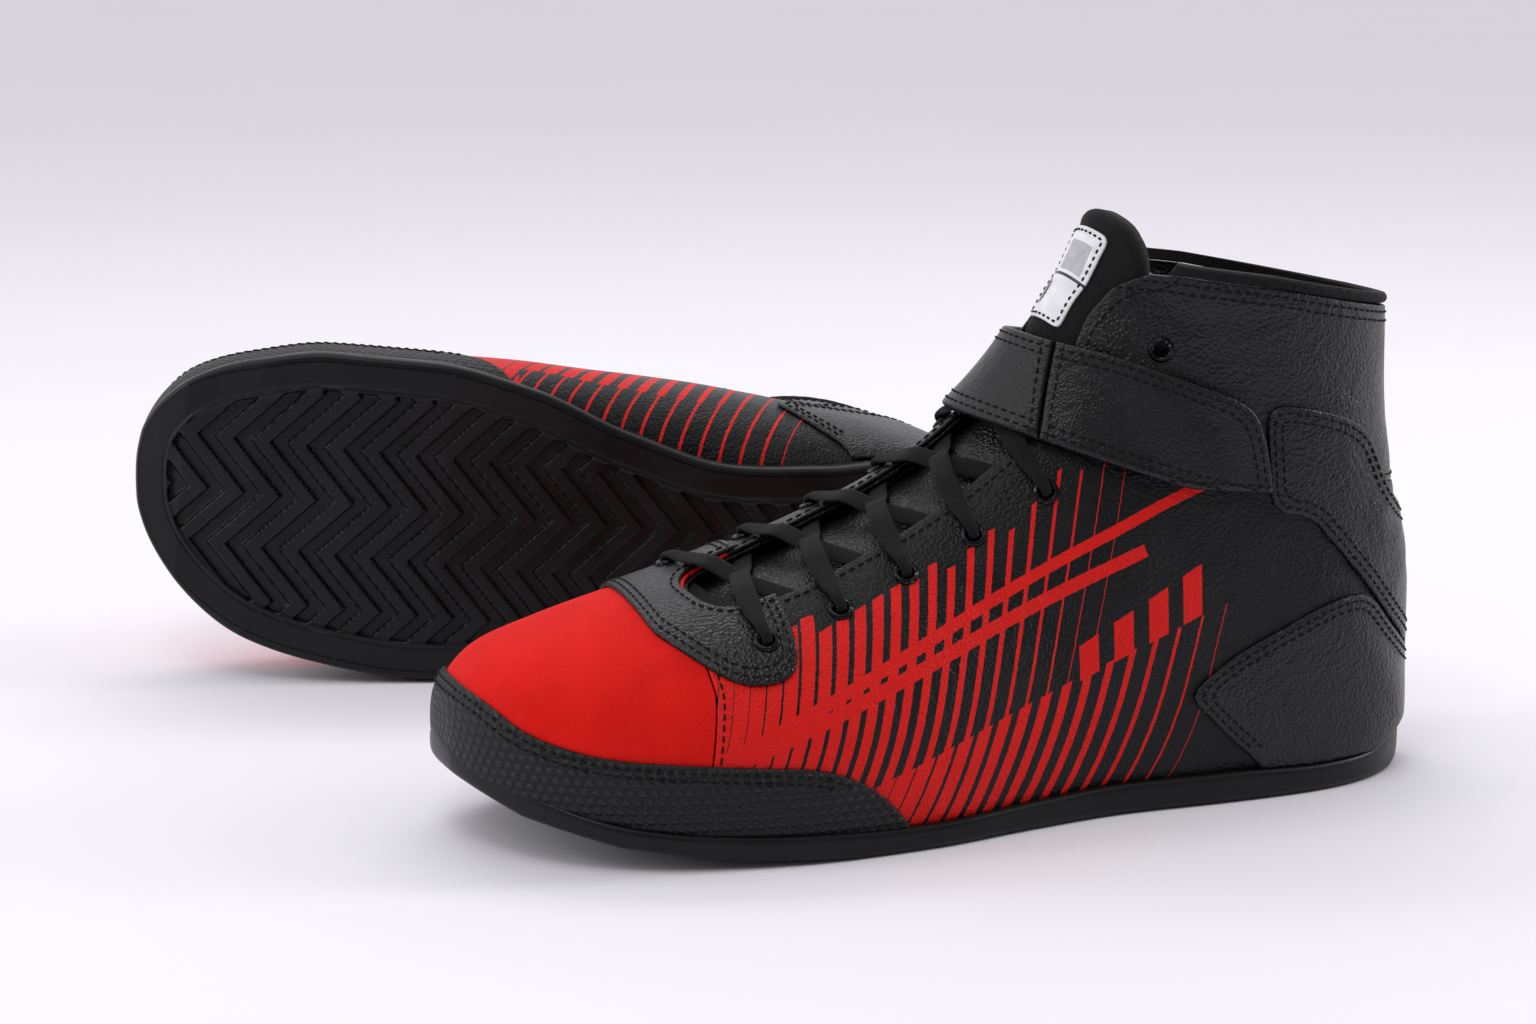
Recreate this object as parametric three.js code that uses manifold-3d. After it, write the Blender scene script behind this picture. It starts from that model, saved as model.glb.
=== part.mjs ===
// A pair of boxing boots: the left boot stands on its sole and the right boot lies on its outer side.
// Units are millimetres and +Z is up. The boots' own frame has x from the heel's back to the toe,
// y towards the boot's outer (lateral) side and z up from the floor. The left boot is turned half
// round, so its toe points to -X and its lateral side to -Y. The right boot is its mirror image.
import * as THREE from "three";
import { mergeVertices } from "three/addons/utils/BufferGeometryUtils.js";
import Module from "manifold-3d";

const wasm = await Module();
wasm.setup();
const { Manifold } = wasm;

// ---- Driving dimensions, mm ---------------------------------------------------------------------
const BOOT_LENGTH = 302; // heel back to toe tip of the upper
const BALL_WIDTH = 107; // widest part of the upper
const SHAFT_HEIGHT = 146; // floor to the collar at the back

const LEATHER = 1.2; // thickness of the vamp, quarters and shaft
const OVERLAY = 1.2; // thickness of the panels sewn on top of them
const REINFORCEMENT = 1.1; // facings, heel counter and toe puff between leather and lining
const LINING = 1.3;
const TONGUE_PAD = 3.0; // tongue where the laces cross it
const TONGUE_TOP_PAD = 4.4; // tongue above the strap
const LABEL = 0.6;
const STRAP = 2.0;
const TAPE = 0.9; // each half of the hook and loop fastening
const HEEL_STRIP = 2.0;
const GAP = 0.3; // air between pieces that touch
const SEAM = 0.4; // slit between two panels that are sewn edge to edge

const RIM_HEIGHT = 3.5; // outsole's rim above the upper's lower edge
const RIM_WIDTH = 4; // outsole beyond the upper's lower edge
const BOARD = 2.2; // insole board
const BOARD_MARGIN = 1.0; // between the board's edge and the lining
const FOOTBED = 3.5;
const BINDING_HEIGHT = 3.4;

const EYELET_BORE = 2.2; // radii
const EYELET_BARREL = 2.75;
const EYELET_FLANGE = 3.8;
const FLANGE_HEIGHT = 0.7;
const FLANGE_SEAT = 0.5; // flange above the leather, which is curved under it
const FACING_WIDTH = 15;
const LACE_WIDTH = 6.4;
const LACE_THICKNESS = 1.3;
const LACE_BUNCHED = 3.0; // width of the lace inside an eyelet
const AGLET_LENGTH = 9;
const STRAP_ROOM = 0.5; // slit at each strap hinge
const FINENESS = 0.05; // corners that stand out by less are dropped

// ---- The last -----------------------------------------------------------------------------------
// Each row is one cross section, from the toe tip back to the heel and then up the heel to the collar:
// bottom x and z, top x and z, half width of the lower edge (lateral, medial), largest half width
// (lateral, medial), its share of the section's height, roundness of the crown, and ridge y.
const LAST_SIZE = { length: 302, width: 107, height: 146 };
const LAST = [
  [302, 28, 302, 36, 0, 0, 0, 0, 0.3, 2.2, -8],
  [301, 25.5, 301, 41, 12, 9, 13, 10, 0.3, 2.25, -8],
  [298, 23, 299, 45, 21, 16, 22, 17, 0.3, 2.3, -8],
  [286, 18, 289, 54, 37, 28, 39, 30, 0.3, 2.3, -8],
  [266, 13, 270, 61, 50, 35, 53, 38, 0.3, 2.2, -8],
  [240, 9, 246, 68, 58, 39, 61, 42, 0.28, 2.1, -9],
  [208, 7, 216, 77, 61, 39, 64, 43, 0.27, 2.05, -9],
  [174, 6, 188, 88, 57, 34, 60, 44, 0.27, 2.0, -8],
  [140, 7, 162, 101, 48, 23, 52, 43, 0.3, 1.95, -7],
  [106, 8, 142, 116, 40, 17, 45, 43, 0.32, 1.95, -5],
  [72, 8, 129, 131, 37, 21, 41, 42, 0.34, 1.95, -3],
  [42, 7, 122, 143, 32, 27, 37, 41, 0.36, 1.95, -1],
  [17, 8, 117, 152, 22, 22, 36, 40, 0.38, 2.0, 0],
  [4, 14, 114, 157, 10, 10, 35, 38, 0.4, 2.0, 0],
  [0, 28, 112, 161, 0, 0, 34.5, 36, 0.44, 2.0, 0],
  [0, 52, 110, 165, 0, 0, 34, 35, 0.46, 2.0, 0],
  [5, 84, 108, 168, 0, 0, 34, 35, 0.48, 2.0, 0],
  [9, 115, 107, 171, 0, 0, 34, 34, 0.5, 2.0, 0],
  [10, 146, 106, 175, 0, 0, 34, 34, 0.5, 2.0, 0],
  [12, 162, 104, 190, 0, 0, 34, 34, 0.5, 2.0, 0],
];
const COLUMNS = [0, 0.15, 0.3, 0.5, 0.75, 1]; // up one side of a section: lower edge, widest, ridge
const WIDEST = 0.3; // the column where a section is widest

const stretchX = BOOT_LENGTH / LAST_SIZE.length;
const stretchY = BALL_WIDTH / LAST_SIZE.width;
const stretchZ = SHAFT_HEIGHT / LAST_SIZE.height;
const onX = (x) => x * stretchX;
const onY = (y) => y * stretchY;
const onZ = (z) => z * stretchZ;

// One point of a section. side is +1 for lateral and -1 for medial, v runs from lower edge to ridge.
function sectionPoint(row, side, v) {
  const [bx, bz, tx, tz, footLateral, footMedial, wideLateral, wideMedial, wideAt, crown, ridge] = row;
  const foot = side > 0 ? footLateral : footMedial;
  const wide = side > 0 ? wideLateral : wideMedial;
  let out, up;
  if (v < WIDEST) {
    const a = (v / WIDEST) * (Math.PI / 2);
    out = foot + (wide - foot) * Math.sin(a);
    up = wideAt * (1 - Math.cos(a));
  } else {
    const b = ((v - WIDEST) / (1 - WIDEST)) * (Math.PI / 2);
    out = wide * Math.max(Math.cos(b), 0) ** (2 / crown);
    up = wideAt + (1 - wideAt) * Math.sin(b) ** (2 / crown);
  }
  if (v === 1) out = 0;
  return new THREE.Vector3(onX(bx + up * (tx - bx)), onY(ridge + side * out), onZ(bz + up * (tz - bz)));
}

// The last's surface: welded points with normals, and triangles that face out.
function lastSurface() {
  const points = [];
  const found = new Map();
  const index = (point) => {
    const key = point.toArray().map((n) => n.toFixed(3)).join();
    if (!found.has(key)) found.set(key, points.push(point) - 1);
    return found.get(key);
  };
  const rings = LAST.map((row) => [
    ...COLUMNS.map((v) => index(sectionPoint(row, 1, v))),
    ...COLUMNS.slice(0, -1).reverse().map((v) => index(sectionPoint(row, -1, v))),
  ]);
  const faces = [];
  const add = (a, b, c) => a !== b && b !== c && c !== a && faces.push([a, b, c]);
  for (let i = 0; i + 1 < rings.length; i++)
    for (let j = 0; j + 1 < rings[i].length; j++) {
      add(rings[i][j], rings[i + 1][j], rings[i + 1][j + 1]);
      add(rings[i][j], rings[i + 1][j + 1], rings[i][j + 1]);
    }
  const normals = points.map(() => new THREE.Vector3());
  for (const [a, b, c] of faces) {
    const ab = points[b].clone().sub(points[a]);
    const normal = ab.cross(points[c].clone().sub(points[a]));
    for (const k of [a, b, c]) normals[k].add(normal);
  }
  normals.forEach((n) => n.normalize());
  return { points, normals, faces, rings };
}
const last = lastSurface();

// ---- Solids -------------------------------------------------------------------------------------
function solidFrom(positions, triangles) {
  return new Manifold(
    new wasm.Mesh({
      numProp: 3,
      vertProperties: Float32Array.from(positions.flatMap((p) => p.toArray())),
      triVerts: Uint32Array.from(triangles.flat()),
    })
  );
}

function solidOf(geometry) {
  const bare = geometry.clone();
  for (const name of ["normal", "uv"]) bare.deleteAttribute(name);
  const merged = mergeVertices(bare, 1e-4);
  return new Manifold(
    new wasm.Mesh({
      numProp: 3,
      vertProperties: Float32Array.from(merged.attributes.position.array),
      triVerts: Uint32Array.from(merged.index.array),
    })
  );
}

const lifted = (distance) =>
  last.points.map((p, i) => p.clone().addScaledVector(last.normals[i], distance));

// A sheet of leather or lining: everything between two distances from the last.
function shell(inner, outer) {
  const count = last.points.length;
  const edges = new Map();
  for (const [a, b, c] of last.faces)
    for (const [from, to] of [[a, b], [b, c], [c, a]]) {
      if (edges.has(`${to},${from}`)) edges.delete(`${to},${from}`);
      else edges.set(`${from},${to}`, [from, to]);
    }
  const triangles = [...last.faces, ...last.faces.map(([a, b, c]) => [c + count, b + count, a + count])];
  for (const [a, b] of edges.values()) triangles.push([b, a, a + count], [b, a + count, b + count]);
  return solidFrom([...lifted(outer), ...lifted(inner)], triangles);
}

// Everything inside the last's surface, closed across the bottom and the top.
function filledLast(distance) {
  const triangles = [...last.faces];
  const add = (a, b, c) => a !== b && b !== c && c !== a && triangles.push([a, b, c]);
  for (let i = 0; i + 1 < last.rings.length; i++) {
    const [l0, m0] = [last.rings[i][0], last.rings[i].at(-1)];
    const [l1, m1] = [last.rings[i + 1][0], last.rings[i + 1].at(-1)];
    add(l0, m0, m1);
    add(l0, m1, l1);
  }
  const collar = last.rings.at(-1);
  for (let j = 0; j < COLUMNS.length - 1; j++) {
    const far = collar.length - 1 - j;
    add(collar[j], collar[far], collar[far - 1]);
    add(collar[j], collar[far - 1], collar[j + 1]);
  }
  return solidFrom(lifted(distance), triangles);
}

// Two flat views that outlines are drawn in. Side view: x along the boot and z up. Throat view:
// s along the instep, rising towards the shin, and y across it.
const SIDE = { along: new THREE.Vector3(1, 0, 0), up: new THREE.Vector3(0, 0, 1) };
const THROAT = {
  along: new THREE.Vector3(-1, 0, 1).normalize(),
  up: new THREE.Vector3(0, 1, 0),
};
const FAR = 400;

function prism(outline, view, near = -FAR, far = FAR) {
  const shape = new THREE.Shape(outline.map(([a, b]) => new THREE.Vector2(a, b)));
  const geometry = new THREE.ExtrudeGeometry(shape, { depth: far - near, bevelEnabled: false });
  geometry.translate(0, 0, near);
  const through = view.along.clone().cross(view.up);
  geometry.applyMatrix4(new THREE.Matrix4().makeBasis(view.along, view.up, through));
  return solidOf(geometry);
}
const LATERAL = [-FAR, 0];
const MEDIAL = [0, FAR];
const sideOutline = (points) => points.map(([x, z]) => [onX(x), onZ(z)]);
const sidePrism = (points, [near, far] = [-FAR, FAR]) => prism(sideOutline(points), SIDE, near, far);

// A slit of the seam's width along a line of side-view points.
function seamPrism(points, width = SEAM, range = [-FAR, FAR]) {
  const line = sideOutline(points).map(([x, z]) => new THREE.Vector2(x, z));
  const edge = (sign) =>
    line.map((point, i) => {
      const along = line[Math.min(i + 1, line.length - 1)].clone().sub(line[Math.max(i - 1, 0)]);
      const across = new THREE.Vector2(-along.y, along.x).normalize();
      return point.clone().addScaledVector(across, (sign * width) / 2).toArray();
    });
  return prism([...edge(1), ...edge(-1).reverse()], SIDE, ...range);
}

// ---- Throat: the open slot over the instep, down which the tongue shows --------------------------
// Each edge is a list of points on the last, from the front of the slot up to the collar: x, z, y.
const SLOT_LATERAL = [
  [233, 70, 9], [230, 67, 20], [223, 66, 26], [203, 73, 25], [181, 82, 22], [163, 91, 19],
  [143, 103, 17], [128, 126, 16], [116, 141, 14], [110, 152, 14], [104, 157, 17], [96, 163, 24],
  [82, 172, 28], [60, 180, 30],
];
const SLOT_MEDIAL = [
  [233, 70, 5], [229, 71, -2], [222, 74, -5], [208, 80, -6], [187, 88, -7], [165, 99, -7],
  [151, 108, -7], [131, 126, -9], [116, 141, -12], [110, 152, -13], [104, 157, -17],
  [96, 163, -24], [82, 172, -28], [60, 180, -30],
];
const THROAT_DEPTH = [-290, -148]; // from well outside the instep to just under it
const alongThroat = (x, z) => (onZ(z) - onX(x)) / Math.SQRT2;
const throatPoints = (points, widen) =>
  points.map(([x, z, y]) => [alongThroat(x, z), onY(y) + widen]);

// The slot's outline, widened by a distance on each side and lengthened by another at the front.
function slotPrism(widen = 0, lengthen = widen) {
  const lateral = throatPoints(SLOT_LATERAL, widen);
  const medial = throatPoints(SLOT_MEDIAL, -widen);
  const reach = (line) => line.map(([s, y], i) => [i < 2 ? s - lengthen : s, y]);
  return prism([...reach(lateral), ...reach(medial).reverse()], THROAT, ...THROAT_DEPTH);
}
const slot = slotPrism();
const throatRidge = alongThroat(SLOT_LATERAL[0][0], SLOT_LATERAL[0][1]);
// The quarters meet in front of the slot, along a short seam that reaches the vamp's edge.
const ridgeSlit = prism(
  [[throatRidge - 7, onY(7) - SEAM / 2], [throatRidge + 2, onY(7) - SEAM / 2],
    [throatRidge + 2, onY(7) + SEAM / 2], [throatRidge - 7, onY(7) + SEAM / 2]],
  THROAT, ...THROAT_DEPTH
);

// Finds the last's surface under a point of the throat view: the point there and its normal.
function underThroat(s, y) {
  const inward = THROAT.along.clone().cross(THROAT.up);
  const origin = THROAT.along.clone().multiplyScalar(s).addScaledVector(THROAT.up, y);
  origin.addScaledVector(inward, -FAR);
  const ray = new THREE.Ray(origin, inward);
  let best = null;
  const at = new THREE.Vector3();
  for (const [a, b, c] of last.faces) {
    if (!ray.intersectTriangle(last.points[a], last.points[b], last.points[c], true, at)) continue;
    if (best && at.distanceTo(origin) >= best.distance) continue;
    const triangle = new THREE.Triangle(last.points[a], last.points[b], last.points[c]);
    const share = triangle.getBarycoord(at, new THREE.Vector3());
    const normal = new THREE.Vector3();
    [a, b, c].forEach((k, n) => normal.addScaledVector(last.normals[k], share.getComponent(n)));
    best = { point: at.clone(), normal: normal.normalize(), distance: at.distanceTo(origin) };
  }
  return best;
}

// ---- Layers, as distances from the last's surface -----------------------------------------------
const layer = {};
layer.leather = [-LEATHER, 0];
layer.overlay = [GAP, GAP + OVERLAY];
layer.tape = [GAP, GAP + TAPE];
layer.hooks = [layer.tape[1] + GAP, layer.tape[1] + GAP + TAPE];
layer.strap = [layer.hooks[1] + GAP, layer.hooks[1] + GAP + STRAP];
layer.strip = [GAP, GAP + HEEL_STRIP];
layer.reinforcement = [-LEATHER - GAP - REINFORCEMENT, -LEATHER - GAP];
layer.lining = [layer.reinforcement[0] - GAP - LINING, layer.reinforcement[0] - GAP];
const LACE_ROOM = LACE_THICKNESS + 2.1; // between facing and tongue
layer.tongue = [
  layer.reinforcement[0] - LACE_ROOM - TONGUE_PAD,
  layer.reinforcement[0] - LACE_ROOM,
];
layer.tongueTop = [-LEATHER - TONGUE_TOP_PAD, -LEATHER];
layer.label = [layer.tongueTop[1] + GAP, layer.tongueTop[1] + GAP + LABEL];
layer.binding = [layer.lining[0] - 0.2, 0.6];

// ---- Collar -------------------------------------------------------------------------------------
// The collar's line in side view, from behind the heel to in front of the shin.
const COLLAR = [[-30, 137], [10, 146], [60, 156], [89, 160], [140, 164]];
const lowered = (points, drop) => points.map(([x, z]) => [onX(x), onZ(z) - drop]);
const above = (points, drop) => {
  const line = lowered(points, drop);
  return prism([...line, [line.at(-1)[0], FAR], [line[0][0], FAR]], SIDE);
};
const aboveCollar = above(COLLAR, 0);
const aboveBinding = above(COLLAR, BINDING_HEIGHT + GAP);
const bindingBand = above(COLLAR, BINDING_HEIGHT).subtract(aboveCollar);

// ---- Outsole ------------------------------------------------------------------------------------
const TREAD = [[-6, 3], [10, 0], [200, 0], [232, 2], [264, 7], [288, 14], [308, 25]]; // underside, x and z
const treadHeight = (x) => {
  const k = Math.max(1, TREAD.findIndex(([stop]) => onX(stop) >= x));
  const [[x0, z0], [x1, z1]] = [TREAD[k - 1], TREAD[k]];
  return THREE.MathUtils.lerp(z0, z1, THREE.MathUtils.clamp((x / stretchX - x0) / (x1 - x0), 0, 1));
};

// The upper's lower edge seen from above: lateral side from toe to heel, then the medial side back.
const footRows = LAST.filter((row) => row[4] > 0);
const lowerEdge = (side) => footRows.map((row) => sectionPoint(row, side, 0));
const toeEnd = sectionPoint(LAST[0], 1, 0);
const heelEnd = new THREE.Vector3(onX(-1), 0, onZ(14));
const footLoop = [toeEnd, ...lowerEdge(1), heelEnd, ...lowerEdge(-1).reverse()];

// The loop grown outward by a distance, level with the floor.
function grownLoop(loop, distance) {
  return loop.map((point, i) => {
    const before = loop[(i + loop.length - 1) % loop.length];
    const after = loop[(i + 1) % loop.length];
    const along = after.clone().sub(before).setZ(0).normalize();
    return point.clone().add(new THREE.Vector3(along.y, -along.x, 0).multiplyScalar(distance));
  });
}

// A solid between rings that all run round the foot loop. Its two ends are closed side to side.
function stackRings(rings) {
  const count = rings[0].length;
  const half = (count - 2) / 2;
  const triangles = [];
  rings.slice(1).forEach((_, level) => {
    for (let i = 0; i < count; i++) {
      const [a, b] = [level * count + i, level * count + ((i + 1) % count)];
      triangles.push([a, b, b + count], [a, b + count, a + count]);
    }
  });
  const cap = (start, flip) => {
    for (let i = 0; i <= half; i++) {
      const [l0, l1] = [i, i + 1];
      const [m0, m1] = [(count - i) % count, count - i - 1];
      for (const t of [[l0, m0, m1], [l0, m1, l1]])
        if (new Set(t).size === 3) triangles.push((flip ? t.reverse() : t).map((k) => k + start));
    }
  };
  cap(0, false);
  cap((rings.length - 1) * count, true);
  return solidFrom(rings.flat(), triangles);
}

function outsole() {
  const rim = grownLoop(footLoop, RIM_WIDTH);
  const top = rim.map((p) => p.clone().setZ(p.z + RIM_HEIGHT));
  const side = grownLoop(footLoop, RIM_WIDTH + 0.6).map((p) => {
    const floor = treadHeight(p.x);
    return p.clone().setZ(floor + 0.45 * (p.z + RIM_HEIGHT - floor));
  });
  const tread = grownLoop(footLoop, RIM_WIDTH - 2.6).map((p) => p.clone().setZ(treadHeight(p.x)));
  return stackRings([tread, side, top]).subtract(filledLast(GAP));
}

const BOARD_INSET = BOARD_MARGIN - layer.lining[0];

// A flat layer inside the boot, from one height above the lower edge to another.
function insideLayer(from, to, inset) {
  const loop = grownLoop(footLoop, -inset);
  const at = (height) => loop.map((p) => p.clone().setZ(p.z + height));
  return stackRings([at(from), at(to)]);
}

// ---- Upper --------------------------------------------------------------------------------------
const VAMP_SEAM = [[252, -20], [241, 20], [236, 48], [244, 120]];
const SHAFT_SEAM = [[150, 116], [118, 106], [62, 100], [30, 93], [-20, 84]];
const backSlit = prism(
  [[-40, -FAR], [onX(70), -FAR], [onX(70), FAR], [-40, FAR]], SIDE, -SEAM / 2, SEAM / 2
);
const rimTop = sideOutline(LAST.slice(0, 14).map(([x, z]) => [x, z]))
  .map(([x, z], i) => [x, z + RIM_HEIGHT + GAP + (i > 12 ? 2 : 0)]);
const belowRim = prism(
  [[onX(330), -FAR], [onX(330), rimTop[0][1] + 4], ...rimTop, [-60, rimTop.at(-1)[1] + 3], [-60, -FAR]],
  SIDE
);

// Eyelets: throat-view positions from x and z on the last, and y on each side of the slot.
const EYELETS = [
  [219, 60, 38, -16], [196, 68, 35, -17], [175, 76, 31.5, -17], [154, 86, 28, -17],
  [133, 99, 27, -18], [102, 144, 25, -24],
];
const LACED = 5; // eyelets that the lace passes through, from the toe up
const EYELET_SIDES = 8;
const eyelets = (side) =>
  EYELETS.map(([x, z, lateral, medial]) =>
    underThroat(alongThroat(x, z), onY(side > 0 ? lateral : medial)));

// A round post along an eyelet's axis, between two distances from the last.
function post({ point, normal }, radius, from, to) {
  const geometry = new THREE.CylinderGeometry(radius, radius, to - from, EYELET_SIDES);
  geometry.translate(0, (from + to) / 2, 0);
  geometry.applyQuaternion(new THREE.Quaternion().setFromUnitVectors(new THREE.Vector3(0, 1, 0), normal));
  geometry.translate(point.x, point.y, point.z);
  return solidOf(geometry);
}
const sides = { lateral: eyelets(1), medial: eyelets(-1) };
const allEyelets = [...sides.lateral, ...sides.medial];
const HOLES = Manifold.union(allEyelets.map((e) => post(e, EYELET_BARREL + GAP, -6, 3)));

// Picks one solid of a cut sheet: the one whose middle is nearest to a point.
function nearest(solids, [x, y, z]) {
  const goal = new THREE.Vector3(onX(x), onY(y), onZ(z));
  const middle = (solid) => {
    const { min, max } = solid.boundingBox();
    return new THREE.Vector3(...min).add(new THREE.Vector3(...max)).multiplyScalar(0.5);
  };
  return solids.reduce((a, b) => (middle(a).distanceTo(goal) < middle(b).distanceTo(goal) ? a : b));
}
const largest = (solid) =>
  solid.decompose().reduce((a, b) => (a.volume() > b.volume() ? a : b));

function leatherPanels() {
  const cuts = [slot, ridgeSlit, backSlit, aboveBinding, HOLES, seamPrism(VAMP_SEAM), seamPrism(SHAFT_SEAM)];
  const panels = shell(...layer.leather).subtract(Manifold.union(cuts)).decompose();
  return {
    vamp: nearest(panels, [270, -8, 35]),
    quarter_lateral: nearest(panels, [120, 30, 50]),
    quarter_medial: nearest(panels, [120, -30, 50]),
    shaft_lateral: nearest(panels, [60, 20, 125]),
    shaft_medial: nearest(panels, [60, -20, 125]),
  };
}

const TOE_GUARD = [
  [320, 55], [296, 46], [288, 38], [271, 33], [250, 31], [228, 29], [207, 27], [192, 20], [178, 5],
  [178, -20], [320, -20],
];
const HEEL_PANEL = [[60, -10], [60, 8], [74, 20], [83, 29], [88, 34], [77, 42], [58, 51], [42, 58],
  [26, 60.5], [16, 48.5], [0, 35], [-20, 31], [-20, -10]];
const ANKLE_BAND = [[63, 119], [44, 116], [30, 111], [23, 104], [17, 90], [3, 79], [-20, 76],
  [-20, 32.6], [0, 36.6], [16, 50.3], [27, 62.6], [41, 77], [48, 85], [61, 86]];
const STRAP_ANCHOR = [[97.4, 131], [103.4, 100], [90, 95.5], [75, 91.5], [60, 86], [60, 117.5], [80, 125]];
const ANCHOR_RIB = [[96.7, 134], [97.4, 131], [103.4, 100], [104, 96], [95.5, 94], [88.6, 128]];
const THROAT_OVERLAY = [[250, 90], [249, 63], [244, 60], [237, 55], [228, 50], [215, 51], [211, 57],
  [211, 70], [218, 92]];
const HEEL_STRIP_WIDTH = 15;
const HEEL_STRIP_TOP = 58;

function overlays() {
  const sheet = shell(...layer.overlay);
  const strip = [[-60, -60], [30, -60], [30, HEEL_STRIP_TOP + GAP], [-60, HEEL_STRIP_TOP + GAP]];
  const behind = (halfWidth) => prism(strip.map(([x, z]) => [x, onZ(z)]), SIDE, -halfWidth, halfWidth);
  const stripRoom = behind(HEEL_STRIP_WIDTH / 2 + GAP);
  const panel = (outline, range) =>
    largest(sheet.intersect(sidePrism(outline, range)).subtract(Manifold.union([belowRim, stripRoom, backSlit])));
  const overlay = sheet.intersect(sidePrism(THROAT_OVERLAY)).subtract(slot).subtract(HOLES);
  const toe = sheet.intersect(sidePrism(TOE_GUARD)).subtract(belowRim);
  const anchor = sheet.intersect(sidePrism(STRAP_ANCHOR, MEDIAL));
  const anchorRib = shell(layer.overlay[0], layer.strap[1])
    .intersect(sidePrism(STRAP_OUTLINE, MEDIAL)).intersect(sidePrism(ANCHOR_RIB, MEDIAL));
  return {
    toe_guard: largest(toe),
    throat_overlay: largest(overlay),
    heel_panel_lateral: panel(HEEL_PANEL, LATERAL),
    heel_panel_medial: panel(HEEL_PANEL, MEDIAL),
    ankle_band_lateral: panel(ANKLE_BAND, LATERAL),
    ankle_band_medial: largest(Manifold.union([panel(ANKLE_BAND, MEDIAL), anchor, anchorRib])),
    heel_strip: largest(shell(...layer.strip).intersect(behind(HEEL_STRIP_WIDTH / 2)).subtract(belowRim)
      .subtract(above([[-60, HEEL_STRIP_TOP], [60, HEEL_STRIP_TOP]], 0))),
  };
}

// ---- Inside the boot ----------------------------------------------------------------------------
const HEEL_COUNTER = [[66, -10], [66, 24], [48, 50], [-20, 62], [-20, -10]];
const TOE_PUFF = [[262, -10], [262, 90], [320, 90], [320, -10]];

function reinforcements() {
  const sheet = shell(...layer.reinforcement);
  const barrels = ([name, list]) => {
    const strip = sheet.intersect(slotPrism(FACING_WIDTH, 3)).subtract(Manifold.union([slot, ridgeSlit, aboveBinding]));
    const facing = nearest(strip.decompose(), [150, name === "lateral" ? 20 : -20, 110]);
    const flanges = list.map((eyelet, i) => {
      const base = FLANGE_SEAT + (i === 0 ? layer.overlay[1] : 0);
      const ring = post(eyelet, EYELET_FLANGE, base, base + FLANGE_HEIGHT);
      return ring.add(post(eyelet, EYELET_BARREL, layer.reinforcement[0], base + FLANGE_HEIGHT));
    });
    const bores = list.map((eyelet) => post(eyelet, EYELET_BORE, -8, 8));
    return [`eyelets_${name}`, largest(facing.add(Manifold.union(flanges)).subtract(Manifold.union(bores)))];
  };
  return {
    ...Object.fromEntries(Object.entries(sides).map(barrels)),
    heel_counter: largest(sheet.intersect(sidePrism(HEEL_COUNTER))),
    toe_puff: largest(sheet.intersect(sidePrism(TOE_PUFF))),
  };
}

function lining() {
  const cut = Manifold.union([slotPrism(FACING_WIDTH + GAP, 4), aboveBinding]);
  return largest(shell(...layer.lining).subtract(cut));
}

const binding = () => largest(shell(...layer.binding).intersect(bindingBand).subtract(slot));

const TONGUE_TOP = 51; // along the throat
const TONGUE_STEP = 10; // where the tongue grows thick, above the strap
const TONGUE_SEAM_AHEAD = 8; // the tongue is sewn to the lining this far ahead of the first eyelets
function tongue() {
  const upTo = (from, to, half, middle = 0) =>
    prism([[from, middle - half], [to, middle - half + 4], [to, middle + half - 4], [from, middle + half]],
      THROAT, ...THROAT_DEPTH);
  const flat = shell(...layer.tongue).intersect(slotPrism(8, 9)).intersect(upTo(-FAR, TONGUE_TOP - 6, 60));
  const front = toThroat(sides.lateral[0].point)[0] - TONGUE_SEAM_AHEAD;
  const seam = shell(layer.tongue[0] + 0.6, layer.lining[0] - GAP).intersect(slotPrism(6, 9))
    .intersect(prism([[-FAR, -FAR], [front, -FAR], [front, FAR], [-FAR, FAR]], THROAT, ...THROAT_DEPTH));
  const room = slotPrism(-1.2, 0);
  const thick = shell(layer.tongue[0] + 1, layer.tongueTop[1]).intersect(room)
    .intersect(upTo(TONGUE_STEP, TONGUE_TOP, 20));
  return largest(Manifold.union([flat, seam, thick]));
}

const LABEL_FROM = 15;
const LABEL_TO = 44;
const label = () => {
  const outline = [[LABEL_FROM, -8], [LABEL_TO, -10.5], [LABEL_TO, 11], [LABEL_FROM, 9]];
  return largest(shell(...layer.label).intersect(prism(outline, THROAT, ...THROAT_DEPTH)));
};

// ---- Strap --------------------------------------------------------------------------------------
const STRAP_OUTLINE = [[61, 87], [75, 92], [90, 96], [114, 104.5], [146, 116], [170, 124], [150, 150],
  [128, 138.5], [110, 135], [68, 119], [64, 108]];
const TAIL_HINGE = [[120, 150], [122, 137], [131, 110], [134, 100]];
const ANCHOR_HINGE = [[97, 150], [98, 130], [104, 100], [106, 90]];
const HOOK_PATCH = [[72, 95], [89, 100], [112, 109], [106, 130], [74, 117]];
const LOOP_PATCH = [[68, 92], [89, 99], [114, 109], [108, 131], [70, 117.5]];

function strap() {
  const band = shell(...layer.strap).intersect(sidePrism(STRAP_OUTLINE));
  const behindAnchor = sidePrism([...ANCHOR_HINGE, [-60, 90], [-60, 150]], MEDIAL);
  const slits = [
    seamPrism(TAIL_HINGE, STRAP_ROOM, LATERAL),
    seamPrism(ANCHOR_HINGE, STRAP_ROOM, MEDIAL),
    behindAnchor,
  ];
  const pieces = band.subtract(Manifold.union(slits)).decompose();
  const patch = (distances, outline) =>
    largest(shell(...distances).intersect(sidePrism(outline, LATERAL)));
  return {
    strap: nearest(pieces, [125, -10, 120]),
    strap_tail: nearest(pieces, [90, 30, 110]),
    hook_patch: patch(layer.hooks, HOOK_PATCH),
    loop_patch: patch(layer.tape, LOOP_PATCH),
  };
}

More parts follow.
